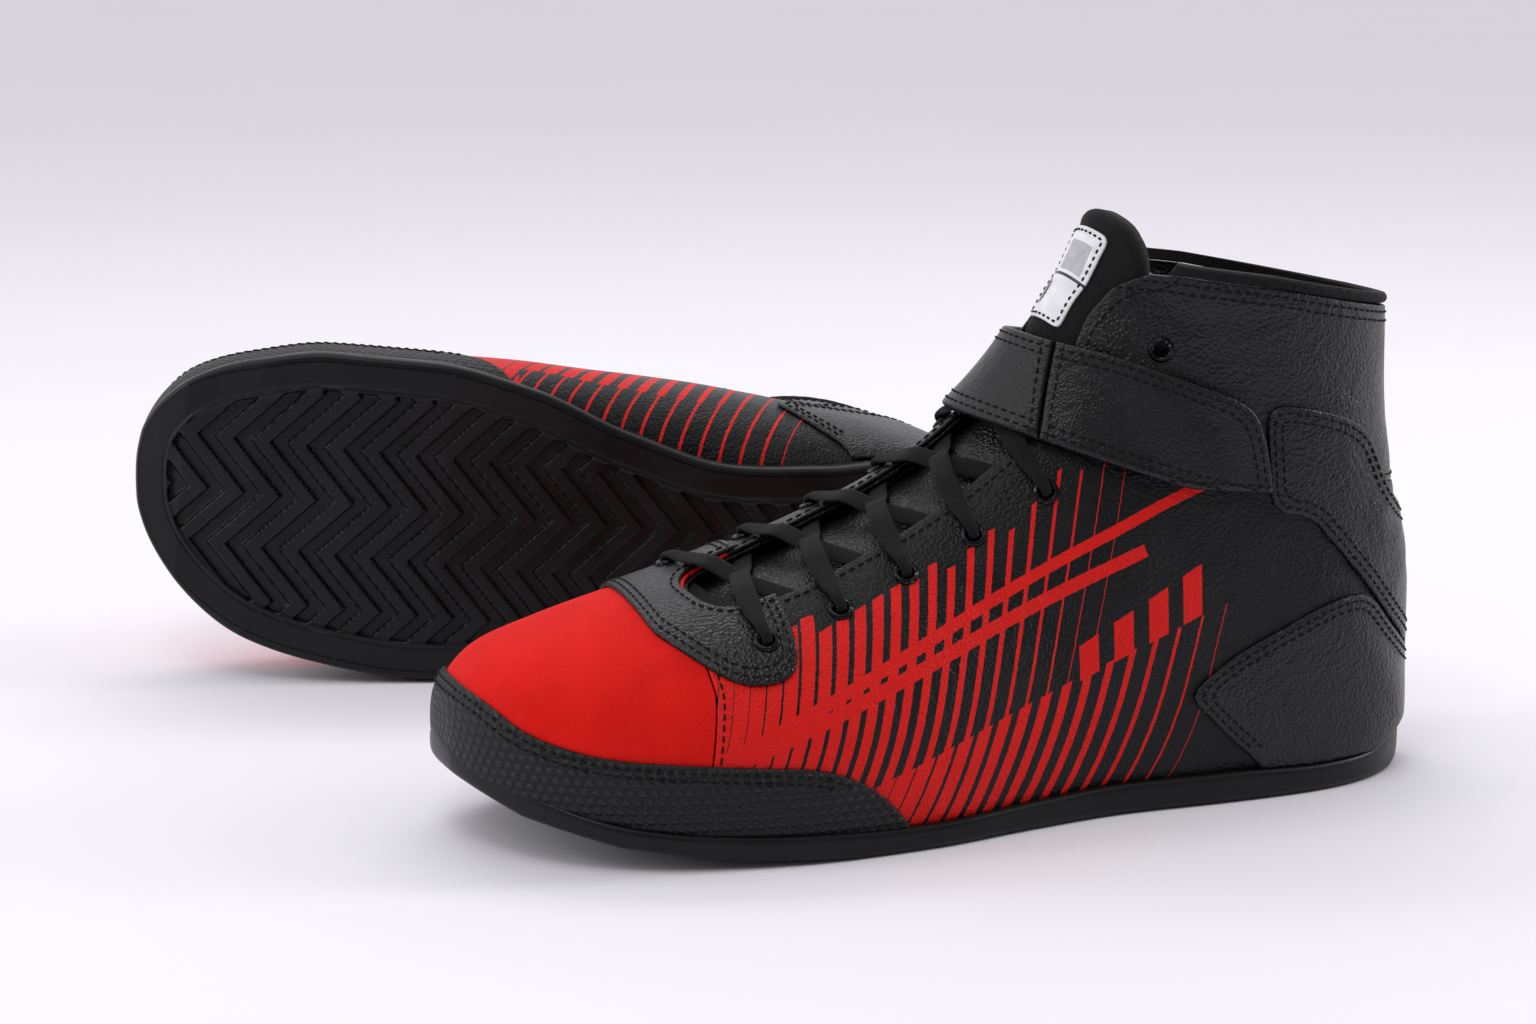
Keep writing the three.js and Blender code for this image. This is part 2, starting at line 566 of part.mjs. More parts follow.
// ---- Laces --------------------------------------------------------------------------------------
const LACE_SECTION = 6;

// A flat cord through stations of {point, normal, width, thickness}.
function ribbon(stations) {
  const positions = [];
  stations.forEach(({ point, normal, width, thickness }, i) => {
    const ahead = stations[Math.min(i + 1, stations.length - 1)].point;
    const behind = stations[Math.max(i - 1, 0)].point;
    const along = ahead.clone().sub(behind).normalize();
    const across = along.clone().cross(normal).normalize();
    const up = across.clone().cross(along).normalize();
    for (let k = 0; k < LACE_SECTION; k++) {
      const turn = ((k + 0.5) / LACE_SECTION) * 2 * Math.PI;
      const spread = (c) => Math.sign(c) * Math.abs(c) ** 0.6;
      positions.push(point.clone()
        .addScaledVector(across, (spread(Math.cos(turn)) * width) / 2)
        .addScaledVector(up, (spread(Math.sin(turn)) * thickness) / 2));
    }
  });
  const triangles = [];
  for (let i = 0; i + 1 < stations.length; i++)
    for (let k = 0; k < LACE_SECTION; k++) {
      const [a, b] = [i * LACE_SECTION + k, i * LACE_SECTION + ((k + 1) % LACE_SECTION)];
      triangles.push([a, b + LACE_SECTION, b], [a, a + LACE_SECTION, b + LACE_SECTION]);
    }
  const end = (stations.length - 1) * LACE_SECTION;
  for (let k = 1; k + 1 < LACE_SECTION; k++)
    triangles.push([0, k, k + 1], [end, end + k + 1, end + k]);
  const made = solidFrom(positions, triangles);
  return made.volume() < 0 ? solidFrom(positions, triangles.map((t) => t.toReversed())) : made;
}

const OVER = LACE_THICKNESS / 2 + 2 * GAP; // lace's middle above the leather
const OVER_FLANGE = FLANGE_HEIGHT + FLANGE_SEAT + 1.3;
const UNDER = layer.reinforcement[0] - GAP - LACE_THICKNESS / 2 - 0.15;
const CROSSING_APART = 1.0; // half the height between two strands that cross

// A station of the lace over the throat-view point (s, y), at a distance from the last.
const overThroat = (s, y, distance, width = LACE_WIDTH, thickness = LACE_THICKNESS) => {
  const { point, normal } = underThroat(s, y);
  return { point: point.clone().addScaledVector(normal, distance), normal, width, thickness };
};
const toThroat = (point) => [point.dot(THROAT.along), point.y];

// Up through an eyelet, ending above its flange.
function throughEyelet(eyelet, towards, height) {
  const at = (distance, slide, width, thickness) => {
    const point = eyelet.point.clone().addScaledVector(eyelet.normal, distance);
    const normal = towards.clone().multiplyScalar(-1);
    return { point: point.addScaledVector(towards, slide), normal, width, thickness };
  };
  const top = height + OVER_FLANGE;
  return [
    at(UNDER + 0.3, 0, LACE_BUNCHED, 1.5),
    at(top - 0.9, 0, LACE_BUNCHED, 1.7),
  ];
}

// One strand from an eyelet over the throat to the eyelet above it on the other side.
function crossing(from, to, lift, height) {
  const [s0, y0] = toThroat(from.point);
  const [s1, y1] = toThroat(to.point);
  const at = (share, distance, width, thickness) =>
    overThroat(s0 + (s1 - s0) * share, y0 + (y1 - y0) * share, distance, width, thickness);
  const top = height + OVER_FLANGE;
  return [
    at(0.05, top, 3.6, 1.7),
    at(0.13, height + OVER + 0.4, 5.4, 1.5),
    at(0.21, height + OVER + 0.1),
    at(0.33, height * 0.5 + OVER + 0.2),
    at(0.5, (OVER + UNDER) / 2 + lift),
    at(0.66, UNDER),
    at(0.8, UNDER - 0.1, 5.6),
    at(0.94, UNDER - 0.2, 3.8, 1.4),
  ];
}

const LACE_END = -2; // along the throat, under the strap
const LACE_END_SIDE = 4; // each end lies this far from the slot's middle line
const SLOT_MIDDLE = 4;

function strand(startSide) {
  const names = startSide > 0 ? ["lateral", "medial"] : ["medial", "lateral"];
  const stations = [];
  const lift = startSide * CROSSING_APART;
  for (let i = 0; i < LACED; i++) {
    const here = sides[names[i % 2]][i];
    const nextSide = sides[names[(i + 1) % 2]];
    const height = i === 0 ? layer.overlay[1] : 0;
    const inward = new THREE.Vector3(0, here.point.y > onY(SLOT_MIDDLE) ? -1 : 1, 0);
    inward.addScaledVector(here.normal, -inward.dot(here.normal)).normalize();
    stations.push(...throughEyelet(here, inward, height));
    if (i + 1 < LACED) stations.push(...crossing(here, nextSide[i + 1], (i % 2 ? -1 : 1) * lift, height));
  }
  const top = sides[names[(LACED - 1) % 2]][LACED - 1];
  const [s, y] = toThroat(top.point);
  const endY = onY(SLOT_MIDDLE) + Math.sign(y) * LACE_END_SIDE;
  const blend = (share, distance, width, thickness) =>
    overThroat(s + (LACE_END - 12 - s) * share, y + (endY - y) * share, distance, width, thickness);
  stations.push(
    blend(0.12, OVER_FLANGE, 3.6, 1.8),
    blend(0.3, OVER + 0.4, 5.4, 1.5),
    blend(0.55, OVER + 0.1),
    blend(1, UNDER + 1.6),
    overThroat(LACE_END, endY, UNDER + 0.6, 4, 1.4)
  );
  return stations;
}

function laceStations() {
  const lateral = strand(1);
  const medial = strand(-1);
  const [a, b] = [sides.lateral[0], sides.medial[0]];
  const [[s0, y0], [s1, y1]] = [toThroat(a.point), toThroat(b.point)];
  const under = [0.06, 0.3, 0.5, 0.7, 0.94].map((share) =>
    overThroat(s0 + (s1 - s0) * share, y0 + (y1 - y0) * share, UNDER - 0.05, share % 0.94 < 0.1 ? 3.8 : LACE_WIDTH));
  return [...lateral.reverse(), ...under, ...medial];
}

function aglet(side) {
  const endY = onY(SLOT_MIDDLE) + side * LACE_END_SIDE;
  const stations = [0, 0.5, 1].map((share) =>
    overThroat(LACE_END + GAP + share * AGLET_LENGTH, endY, UNDER + 0.6, 2.6, 2.0));
  return ribbon(stations);
}

// ---- The boot -----------------------------------------------------------------------------------
const BLACK = new THREE.Color(0.02, 0.02, 0.022);
const finishes = {
  rubber: { color: new THREE.Color(0.018, 0.018, 0.02), roughness: 0.55, metalness: 0 },
  board: { color: new THREE.Color(0.32, 0.25, 0.18), roughness: 0.9, metalness: 0 },
  foam: { color: new THREE.Color(0.06, 0.06, 0.065), roughness: 0.95, metalness: 0 },
  suede: { color: new THREE.Color(0.75, 0.02, 0.02), roughness: 0.85, metalness: 0 },
  leather: { color: BLACK, roughness: 0.45, metalness: 0 },
  textile: { color: new THREE.Color(0.025, 0.025, 0.027), roughness: 0.9, metalness: 0 },
  label: { color: new THREE.Color(0.75, 0.75, 0.78), roughness: 0.5, metalness: 0 },
  metal: { color: new THREE.Color(0.3, 0.3, 0.32), roughness: 0.35, metalness: 0.9 },
  plastic: { color: BLACK, roughness: 0.3, metalness: 0 },
};

const pieces = {
  outsole: [outsole(), "rubber"],
  insole_board: [insideLayer(0, BOARD, BOARD_INSET), "board"],
  footbed: [insideLayer(BOARD + GAP, BOARD + GAP + FOOTBED, BOARD_INSET), "foam"],
};
const FINISH_OF = {
  vamp: "suede", toe_guard: "rubber", heel_strip: "rubber", eyelets_lateral: "metal", eyelets_medial: "metal",
  heel_counter: "board", toe_puff: "board", hook_patch: "textile", loop_patch: "textile",
};
const addAll = (solids) => {
  for (const [name, solid] of Object.entries(solids)) pieces[name] = [solid, FINISH_OF[name] ?? "leather"];
};
addAll(leatherPanels());
addAll(overlays());
addAll(reinforcements());
addAll(strap());
pieces.lining = [lining(), "textile"];
pieces.collar_binding = [binding(), "textile"];
pieces.tongue = [tongue(), "leather"];
pieces.tongue_label = [label(), "label"];
pieces.lace = [ribbon(laceStations()), "textile"];
pieces.aglet_lateral = [aglet(1), "plastic"];
pieces.aglet_medial = [aglet(-1), "plastic"];

function meshOf(name, solid, finish) {
  const { vertProperties, triVerts } = solid.asOriginal().simplify(FINENESS).getMesh();
  const geometry = new THREE.BufferGeometry();
  geometry.setAttribute("position", new THREE.Float32BufferAttribute(vertProperties, 3));
  geometry.setIndex(Array.from(triVerts));
  geometry.computeVertexNormals();
  const mesh = new THREE.Mesh(geometry, new THREE.MeshStandardMaterial(finishes[finish]));
  mesh.name = name;
  return mesh;
}

function boot(prefix) {
  const group = new THREE.Group();
  for (const [name, [solid, finish]] of Object.entries(pieces)) group.add(meshOf(`${prefix}_${name}`, solid, finish));
  return group;
}

// ---- The pair -----------------------------------------------------------------------------------
const LEFT_HEEL = 150; // X of the left boot's heel back
const left = boot("left");
left.rotation.z = Math.PI;
left.position.x = LEFT_HEEL;

// How the right boot lies: turned about Z, its toe raised, and rolled onto its lateral side.
const LYING = { turn: -12.4, toeRise: 6.05, roll: -92.36, x: 85.6, y: 139.2 };
const right = boot("right");
right.scale.x = -1;
const lying = new THREE.Group();
lying.add(right);
const radians = THREE.MathUtils.degToRad;
lying.rotation.set(radians(LYING.roll), radians(LYING.toeRise), radians(LYING.turn), "ZYX");
lying.position.set(LYING.x, LYING.y, 0);

const pair = new THREE.Group();
pair.add(left, lying);
pair.updateMatrixWorld(true);
lying.position.z -= new THREE.Box3().setFromObject(lying, true).min.z; // down onto the floor
export default pair;
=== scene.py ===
"""Boxing boots: the looks. One boot is worked out in its own frame, in millimetres: x from the heel
back to the toe, y towards the outer (lateral) side, z up. Each piece is then placed twice, for the
standing left boot and, mirrored, for the lying right boot."""
import math

import bpy
import numpy as np
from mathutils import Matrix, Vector, noise
from mathutils.bvhtree import BVHTree

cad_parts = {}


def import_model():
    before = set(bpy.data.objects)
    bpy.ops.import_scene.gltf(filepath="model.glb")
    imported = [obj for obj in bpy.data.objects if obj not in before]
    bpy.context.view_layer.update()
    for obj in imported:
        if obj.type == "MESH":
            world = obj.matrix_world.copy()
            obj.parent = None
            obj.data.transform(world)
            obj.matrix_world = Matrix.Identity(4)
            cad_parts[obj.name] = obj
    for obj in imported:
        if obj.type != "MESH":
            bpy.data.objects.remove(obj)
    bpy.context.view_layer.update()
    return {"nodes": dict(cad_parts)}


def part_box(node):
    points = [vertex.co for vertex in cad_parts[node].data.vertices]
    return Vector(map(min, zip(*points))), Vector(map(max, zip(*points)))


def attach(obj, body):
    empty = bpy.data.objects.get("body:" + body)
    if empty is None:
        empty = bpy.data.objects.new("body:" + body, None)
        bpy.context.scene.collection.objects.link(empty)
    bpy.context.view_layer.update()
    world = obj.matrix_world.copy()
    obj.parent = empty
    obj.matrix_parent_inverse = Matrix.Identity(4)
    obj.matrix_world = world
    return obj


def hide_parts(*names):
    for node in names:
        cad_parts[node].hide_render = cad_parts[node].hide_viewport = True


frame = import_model()

MM = 0.001
UV_SIZE = 100  # millimetres in one unit of the UV layers
LEFT_HEEL = 150.0  # X of the left boot's heel back
LYING = {"turn": -12.4, "toe_rise": 6.05, "roll": -92.36, "x": 85.6, "y": 139.2}

# ---- The last: the shape that every layer is an offset of -----------------------------------------
# bottom x, z; top x, z; half widths at the foot, then the widest half widths, lateral and medial;
# height share of the widest line; roundness of the crown; y of the ridge.
LAST = [
    (302, 28, 302, 36, 0, 0, 0, 0, 0.30, 2.2, -8),
    (301, 25.5, 301, 41, 12, 9, 13, 10, 0.30, 2.25, -8),
    (298, 23, 299, 45, 21, 16, 22, 17, 0.30, 2.3, -8),
    (286, 18, 289, 54, 37, 28, 39, 30, 0.30, 2.3, -8),
    (266, 13, 270, 61, 50, 35, 53, 38, 0.30, 2.2, -8),
    (240, 9, 246, 68, 58, 39, 61, 42, 0.28, 2.1, -9),
    (208, 7, 216, 77, 61, 39, 64, 43, 0.27, 2.05, -9),
    (174, 6, 188, 88, 57, 34, 60, 44, 0.27, 2, -8),
    (140, 7, 162, 101, 48, 23, 52, 43, 0.30, 1.95, -7),
    (106, 8, 142, 116, 40, 17, 45, 43, 0.32, 1.95, -5),
    (72, 8, 129, 131, 37, 21, 41, 42, 0.34, 1.95, -3),
    (42, 7, 122, 143, 32, 27, 37, 41, 0.36, 1.95, -1),
    (17, 8, 117, 152, 22, 22, 36, 40, 0.38, 2, 0),
    (4, 14, 114, 157, 10, 10, 35, 38, 0.40, 2, 0),
    (0, 28, 112, 161, 0, 0, 34.5, 36, 0.44, 2, 0),
    (0, 52, 110, 165, 0, 0, 34, 35, 0.46, 2, 0),
    (5, 84, 108, 168, 0, 0, 34, 35, 0.48, 2, 0),
    (9, 115, 107, 171, 0, 0, 34, 34, 0.50, 2, 0),
    (10, 146, 106, 175, 0, 0, 34, 34, 0.50, 2, 0),
    (12, 162, 104, 190, 0, 0, 34, 34, 0.50, 2, 0),
]
WIDEST = 0.3  # share of a section's columns below its widest line
ROWS_BETWEEN = 13
COLUMNS_A_SIDE = 84


def lengths_along(points):
    """The distance from the first point to each point, along the line through them."""
    return np.concatenate([[0], np.cumsum(np.linalg.norm(np.diff(points, axis=0), axis=1))])


def cubic(u, length, start, end, leaving, arriving):
    """The value at a share u of a stretch, on the cubic with these slopes at its two ends."""
    return (
        (2 * u**3 - 3 * u**2 + 1) * start + (u**3 - 2 * u**2 + u) * length * leaving
        + (3 * u**2 - 2 * u**3) * end + (u**3 - u**2) * length * arriving
    )


def grid_faces(rows, columns):
    """Two triangles for each cell of a grid of points that are numbered row by row."""
    index = np.arange(rows * columns).reshape(rows, columns)
    a, b = index[:-1, :-1].ravel(), index[1:, :-1].ravel()
    c, d = index[1:, 1:].ravel(), index[:-1, 1:].ravel()
    return np.vstack([np.stack([a, b, c], 1), np.stack([a, c, d], 1)])


def face_normals(points, faces):
    a, b, c = (points[faces[:, k]] for k in range(3))
    return np.cross(b - a, c - a)


def smooth_rows(rows, between):
    """Rows between the given ones, on monotone cubic curves. The toe tip is mirrored, so it is round."""
    rows = np.array(rows, float)
    mirrored = rows[2:0:-1].copy()
    mirrored[:, 4:8] *= -1
    values = np.vstack([mirrored, rows])
    t = lengths_along(values[:, [0, 1, 2, 3, 4, 6]])
    width = np.diff(t)[:, None]
    slope = np.diff(values, axis=0) / width
    tangent = np.zeros_like(values)
    same = slope[:-1] * slope[1:] > 0
    w1, w2 = 2 * width[1:] + width[:-1], width[1:] + 2 * width[:-1]
    with np.errstate(divide="ignore", invalid="ignore"):
        middle = (w1 + w2) / (w1 / slope[:-1] + w2 / slope[1:])
    tangent[1:-1] = np.where(same, middle, 0)
    tangent[-1] = slope[-1]
    made = []
    for k in range(2, len(values) - 1):
        for step in range(between):
            made.append(cubic(step / between, t[k + 1] - t[k], values[k], values[k + 1],
                              tangent[k], tangent[k + 1]))
    made.append(values[-1])
    return np.array(made)


def section(row, side, v):
    """Points of one section on one side; v runs from the lower edge to the ridge."""
    bx, bz, tx, tz, foot_l, foot_m, wide_l, wide_m, wide_at, crown, ridge = row
    foot, wide = (foot_l, wide_l) if side > 0 else (foot_m, wide_m)
    a = np.clip(v / WIDEST, 0, 1) * math.pi / 2
    b = np.clip((v - WIDEST) / (1 - WIDEST), 0, 1) * math.pi / 2
    low = v < WIDEST
    out = np.where(low, foot + (wide - foot) * np.sin(a), wide * np.maximum(np.cos(b), 0) ** (2 / crown))
    up = np.where(low, wide_at * (1 - np.cos(a)), wide_at + (1 - wide_at) * np.sin(b) ** (2 / crown))
    out = np.where(v >= 1, 0, out)
    return np.stack([bx + up * (tx - bx), ridge + side * out, bz + up * (tz - bz)], -1)


class Sheet:
    """A triangle mesh on the last: points, normals, triangles, and columns of named values."""

    def __init__(self, points, normals, faces, values=None):
        self.points, self.normals, self.faces = points, normals, faces
        self.values = values or {}

    def cut(self, field, level=0.0, keep_both=False):
        """Cuts the triangles along field = level and keeps the side above it, or both."""
        f = self.values[field] - level
        f = np.where(np.abs(f) < 1e-9, 1e-9, f)
        above = f > 0
        count = above[self.faces].sum(1)
        whole = self.faces[count == 3]
        below = self.faces[count == 0]
        mixed = self.faces[(count == 1) | (count == 2)]
        lone_above = above[mixed].sum(1) == 1
        lone = np.where(lone_above[:, None], above[mixed], ~above[mixed]).argmax(1)
        rows = np.arange(len(mixed))
        a, b, c = (mixed[rows, (lone + k) % 3] for k in range(3))
        n = len(self.points)
        pairs = np.vstack([np.stack([a, b], 1), np.stack([a, c], 1)])
        keys = np.sort(pairs, 1)
        edges, place = np.unique(keys, axis=0, return_inverse=True)
        place = place.reshape(-1)
        if len(edges):
            share = (f[edges[:, 0]] / (f[edges[:, 0]] - f[edges[:, 1]]))[:, None]
        else:
            share = np.zeros((0, 1))
        mix = lambda values: values[edges[:, 0]] * (1 - share) + values[edges[:, 1]] * share
        points = np.vstack([self.points, mix(self.points)])
        normals = np.vstack([self.normals, mix(self.normals)])
        normals /= np.linalg.norm(normals, axis=1)[:, None]
        values = {
            name: np.concatenate([column, mix(column[:, None])[:, 0]]) for name, column in self.values.items()
        }
        values[field][n:] = level
        ab, ac = place[: len(mixed)] + n, place[len(mixed):] + n
        tip = np.stack([a, ab, ac], 1)
        rest = np.vstack([np.stack([ab, b, c], 1), np.stack([ab, c, ac], 1)])
        rest_is_kept = np.concatenate([~lone_above, ~lone_above])
        kept = [whole, tip[lone_above], rest[rest_is_kept]]
        if keep_both:
            kept += [below, tip[~lone_above], rest[~rest_is_kept]]
        return Sheet(points, normals, np.vstack(kept), values).compact()

    def compact(self):
        used = np.unique(self.faces)
        new = np.full(len(self.points), -1)
        new[used] = np.arange(len(used))
        return Sheet(
            self.points[used], self.normals[used], new[self.faces],
            {name: column[used] for name, column in self.values.items()},
        )

    def largest(self, near=None):
        """The connected piece with the most triangles, or the one nearest a point."""
        label = np.arange(len(self.points))
        while True:
            low = label[self.faces].min(1)
            new = label.copy()
            for k in range(3):
                np.minimum.at(new, self.faces[:, k], low)
            new = new[new]
            if (new == label).all():
                break
            label = new
        of_face = label[self.faces[:, 0]]
        names, counts = np.unique(of_face, return_counts=True)
        if near is None:
            best = names[counts.argmax()]
        else:
            d = [np.linalg.norm(self.points[label == k] - near, axis=1).min() if c > 20 else 1e9
                 for k, c in zip(names, counts)]
            best = names[int(np.argmin(d))]
        return Sheet(self.points, self.normals, self.faces[of_face == best], self.values).compact()

    def boundary(self):
        """Directed edges that only one triangle has."""
        edges = np.vstack([self.faces[:, [0, 1]], self.faces[:, [1, 2]], self.faces[:, [2, 0]]])
        n = len(self.points)
        code = edges[:, 0] * n + edges[:, 1]
        back = edges[:, 1] * n + edges[:, 0]
        return edges[~np.isin(code, back)]


def relief(points):
    """The leather's slow unevenness, shared by all layers: soft dents, and folds round the ankle."""
    made = np.zeros(len(points))
    for i, p in enumerate(points):
        x, y, z = p
        slow = noise.noise(Vector((x / 38, y / 38, z / 30)))
        ankle = math.exp(-(((x - 22) / 30) ** 2) - ((z - 82) / 26) ** 2)
        folds = noise.noise(Vector(((x + 0.9 * z) / 7, y / 30, (z - 0.9 * x) / 26 + 5)))
        shaft = math.exp(-(((x - 90) / 34) ** 2) - ((z - 138) / 16) ** 2)
        creases = noise.noise(Vector((x / 16, y / 16, z / 7 + 9)))
        hinges = max(math.exp(-(((x - at) / 15) ** 2) - ((z - 117) / 24) ** 2) for at in (100, 127))
        made[i] = (0.35 * slow + 0.75 * ankle * folds + 0.45 * shaft * creases) * (1 - min(1, 1.3 * hinges))
    return made


def last_sheet():
    rows = smooth_rows(LAST, ROWS_BETWEEN)
    v = np.linspace(0, 1, COLUMNS_A_SIDE + 1)
    grid = np.stack([
        np.vstack([section(row, 1, v), section(row, -1, v[::-1])[1:]]) for row in rows
    ])
    count, across = grid.shape[:2]
    points = grid.reshape(-1, 3)
    faces = grid_faces(count, across)
    _, first, same = np.unique(np.round(points, 3), axis=0, return_index=True, return_inverse=True)
    same = same.reshape(-1)
    faces = same[faces]
    points = points[first]
    whole = (faces[:, 0] != faces[:, 1]) & (faces[:, 1] != faces[:, 2]) & (faces[:, 2] != faces[:, 0])
    faces = faces[whole]
    arc = np.repeat(lengths_along(grid[:, across // 4]), across)[first]
    normals = vertex_normals(points, faces)
    points = points + normals * relief(points)[:, None]
    return Sheet(points, vertex_normals(points, faces), faces, {"arc": arc})


def vertex_normals(points, faces):
    cross = face_normals(points, faces)
    made = np.zeros_like(points)
    for k in range(3):
        np.add.at(made, faces[:, k], cross)
    return made / np.maximum(np.linalg.norm(made, axis=1)[:, None], 1e-12)


LAST_SHEET = last_sheet()

# ---- Outlines -------------------------------------------------------------------------------------
def rounded(points, radius, steps=7):
    """A closed outline with its corners rounded."""
    points = np.array(points, float)
    made = []
    for i, corner in enumerate(points):
        before, after = points[i - 1] - corner, points[(i + 1) % len(points)] - corner
        reach = [min(radius, 0.5 * np.linalg.norm(d)) for d in (before, after)]
        start = corner + before / np.linalg.norm(before) * reach[0]
        end = corner + after / np.linalg.norm(after) * reach[1]
        for u in np.linspace(0, 1, steps):
            made.append((1 - u) ** 2 * start + 2 * u * (1 - u) * corner + u**2 * end)
    return np.array(made)


def inside_distance(places, outline):
    """Distance from each place to a closed outline, positive inside it."""
    best = np.full(len(places), 1e9)
    inside = np.zeros(len(places), bool)
    x, y = places[:, 0], places[:, 1]
    for (x0, y0), (x1, y1) in zip(outline, np.roll(outline, -1, axis=0)):
        dx, dy = x1 - x0, y1 - y0
        length = dx * dx + dy * dy
        if length < 1e-12:
            continue
        t = np.clip(((x - x0) * dx + (y - y0) * dy) / length, 0, 1)
        best = np.minimum(best, (x - x0 - t * dx) ** 2 + (y - y0 - t * dy) ** 2)
        crosses = (y0 > y) != (y1 > y)
        if dy:
            inside ^= crosses & (x < x0 + (y - y0) * dx / dy)
    return np.where(inside, 1, -1) * np.sqrt(best)


def side_view(points):
    return points[:, [0, 2]]


def throat_view(points):
    return np.stack([(points[:, 2] - points[:, 0]) / math.sqrt(2), points[:, 1]], 1)


FAR = 900
SLOT_LATERAL = [
    (233, 70, 9), (230, 67, 20), (223, 66, 26), (203, 73, 25), (181, 82, 22), (163, 91, 19),
    (143, 103, 17), (128, 126, 16), (116, 141, 14), (110, 152, 14), (104, 157, 17), (96, 163, 24),
    (82, 172, 28), (60, 180, 30),
]
SLOT_MEDIAL = [
    (233, 70, 5), (229, 71, -2), (222, 74, -5), (208, 80, -6), (187, 88, -7), (165, 99, -7), (151, 108, -7),
    (131, 126, -9), (116, 141, -12), (110, 152, -13), (104, 157, -17), (96, 163, -24), (82, 172, -28),
    (60, 180, -30),
]
VAMP_SEAM = [(252, -20), (241, 20), (236, 48), (244, 120)]
SHAFT_SEAM = [(150, 116), (118, 106), (62, 100), (30, 93), (-20, 84)]
COLLAR = [(-30, 137), (10, 146), (60, 156), (89, 160), (140, 164)]
TOE_GUARD = [
    (320, 55), (296, 46), (288, 38), (271, 33), (250, 31), (228, 29), (207, 27), (192, 20), (178, 5),
    (178, -20), (320, -20),
]
HEEL_PANEL = [
    (60, -10), (60, 8), (74, 20), (83, 29), (88, 34), (77, 42), (58, 51), (42, 58), (26, 60.5), (16, 48.5),
    (0, 35), (-20, 31), (-20, -10),
]
ANKLE_BAND = [
    (63, 119), (44, 116), (30, 111), (23, 104), (17, 90), (3, 79), (-20, 76), (-20, 32.6), (0, 36.6),
    (16, 50.3), (27, 62.6), (41, 77), (48, 85), (61, 86),
]
STRAP_ANCHOR = [(97.4, 131), (103.4, 100), (90, 95.5), (75, 91.5), (60, 86), (60, 117.5), (80, 125)]
ANCHOR_RIB = [(96.7, 134), (97.4, 131), (103.4, 100), (104, 96), (95.5, 94), (88.6, 128)]
THROAT_OVERLAY = [
    (250, 90), (249, 63), (244, 60), (237, 55), (228, 50), (215, 51), (211, 57), (211, 70), (218, 92),
]
STRAP_OUTLINE = [
    (61, 87), (75, 92), (90, 96), (114, 104.5), (146, 116), (170, 124), (150, 150), (128, 138.5), (110, 135),
    (68, 119), (64, 108),
]
TAIL_HINGE = [(120, 150), (122, 137), (131, 110), (134, 100)]
ANCHOR_HINGE = [(97, 150), (98, 130), (104, 100), (106, 90)]
HOOK_PATCH = [(72, 95), (89, 100), (112, 109), (106, 130), (74, 117)]
LOOP_PATCH = [(68, 92), (89, 99), (114, 109), (108, 131), (70, 117.5)]
RIM_HEIGHT = 3.5
HEEL_STRIP_WIDTH = 15
HEEL_STRIP_TOP = 58
SEAM = 0.4
FACING_WIDTH = 15


def slot_outline(widen=0.0, lengthen=0.0):
    edges = []
    for line, sign in ((SLOT_LATERAL, 1), (SLOT_MEDIAL, -1)):
        edge = [((z - x) / math.sqrt(2) - (lengthen if i < 2 else 0), y + sign * widen)
                for i, (x, z, y) in enumerate(line)]
        edges.append(edge)
    return rounded(edges[0] + edges[1][::-1], 6)


def in_slot(points, widen=0.0, lengthen=0.0):
    distance = inside_distance(throat_view(points), slot_outline(widen, lengthen))
    return np.where(points[:, 0] + points[:, 2] > 209, distance, -60)


def beside(points, line, corners):
    """Distance to a line in side view, positive towards the corners that close it to an outline."""
    return inside_distance(side_view(points), np.array(list(line) + list(corners), float))


def ahead_of_vamp_seam(points):
    return beside(points, VAMP_SEAM, [(FAR, 120), (FAR, -20)])


def above_shaft_seam(points):
    return beside(points, SHAFT_SEAM, [(-FAR, 84), (-FAR, FAR), (FAR, FAR), (FAR, 116)])


def below_collar(points, drop=0.0):
    line = [(x, z - drop) for x, z in COLLAR]
    return beside(points, line, [(FAR, 164), (FAR, -FAR), (-FAR, -FAR), (-FAR, 137)])


RIM_LINE = [(x, z + RIM_HEIGHT + 0.3 + (2 if i > 12 else 0)) for i, (x, z) in
            enumerate([row[:2] for row in LAST[:14]])]


def above_rim(points, lift=0.0):
    line = [(330, RIM_LINE[0][1] + 4)] + RIM_LINE + [(-60, RIM_LINE[-1][1] + 3)]
    line = [(x, z + lift) for x, z in line]
    return beside(points, line, [(-60, FAR), (330, FAR)])


def in_outline(points, outline, radius=8.0):
    return inside_distance(side_view(points), rounded(outline, radius))


# ---- Turning sheets into solid pieces ---------------------------------------------------------------
def layer(span, fields, edge, near=None):
    """A closed piece of sheet between two distances from the last, cut to each field above zero.

    The fields are functions of points. The cut edges are rounded over, edge wide."""
    inner, outer = span
    sheet = Sheet(LAST_SHEET.points, LAST_SHEET.normals, LAST_SHEET.faces, dict(LAST_SHEET.values))
    names = [f"f{k}" for k in range(len(fields))]
    for name, field in zip(names, fields):
        sheet.values[name] = field(sheet.points + sheet.normals * (inner + outer) / 2)
        sheet = sheet.cut(name)
    sheet = sheet.largest(near)
    for level in (0.2 * edge, 0.5 * edge, edge):
        sheet.values["rim"] = np.min([sheet.values[name] for name in names], axis=0)
        sheet = sheet.cut("rim", level, keep_both=True)
    rim = np.min([sheet.values[name] for name in names], axis=0)
    t = 1 - np.clip(rim / edge, 0, 1)
    fall = 1 - np.sqrt(np.maximum(1 - t * t, 0))
    top = outer - fall * min(edge, 0.8 * (outer - inner))
    return solid_from(sheet, inner, top), sheet, top


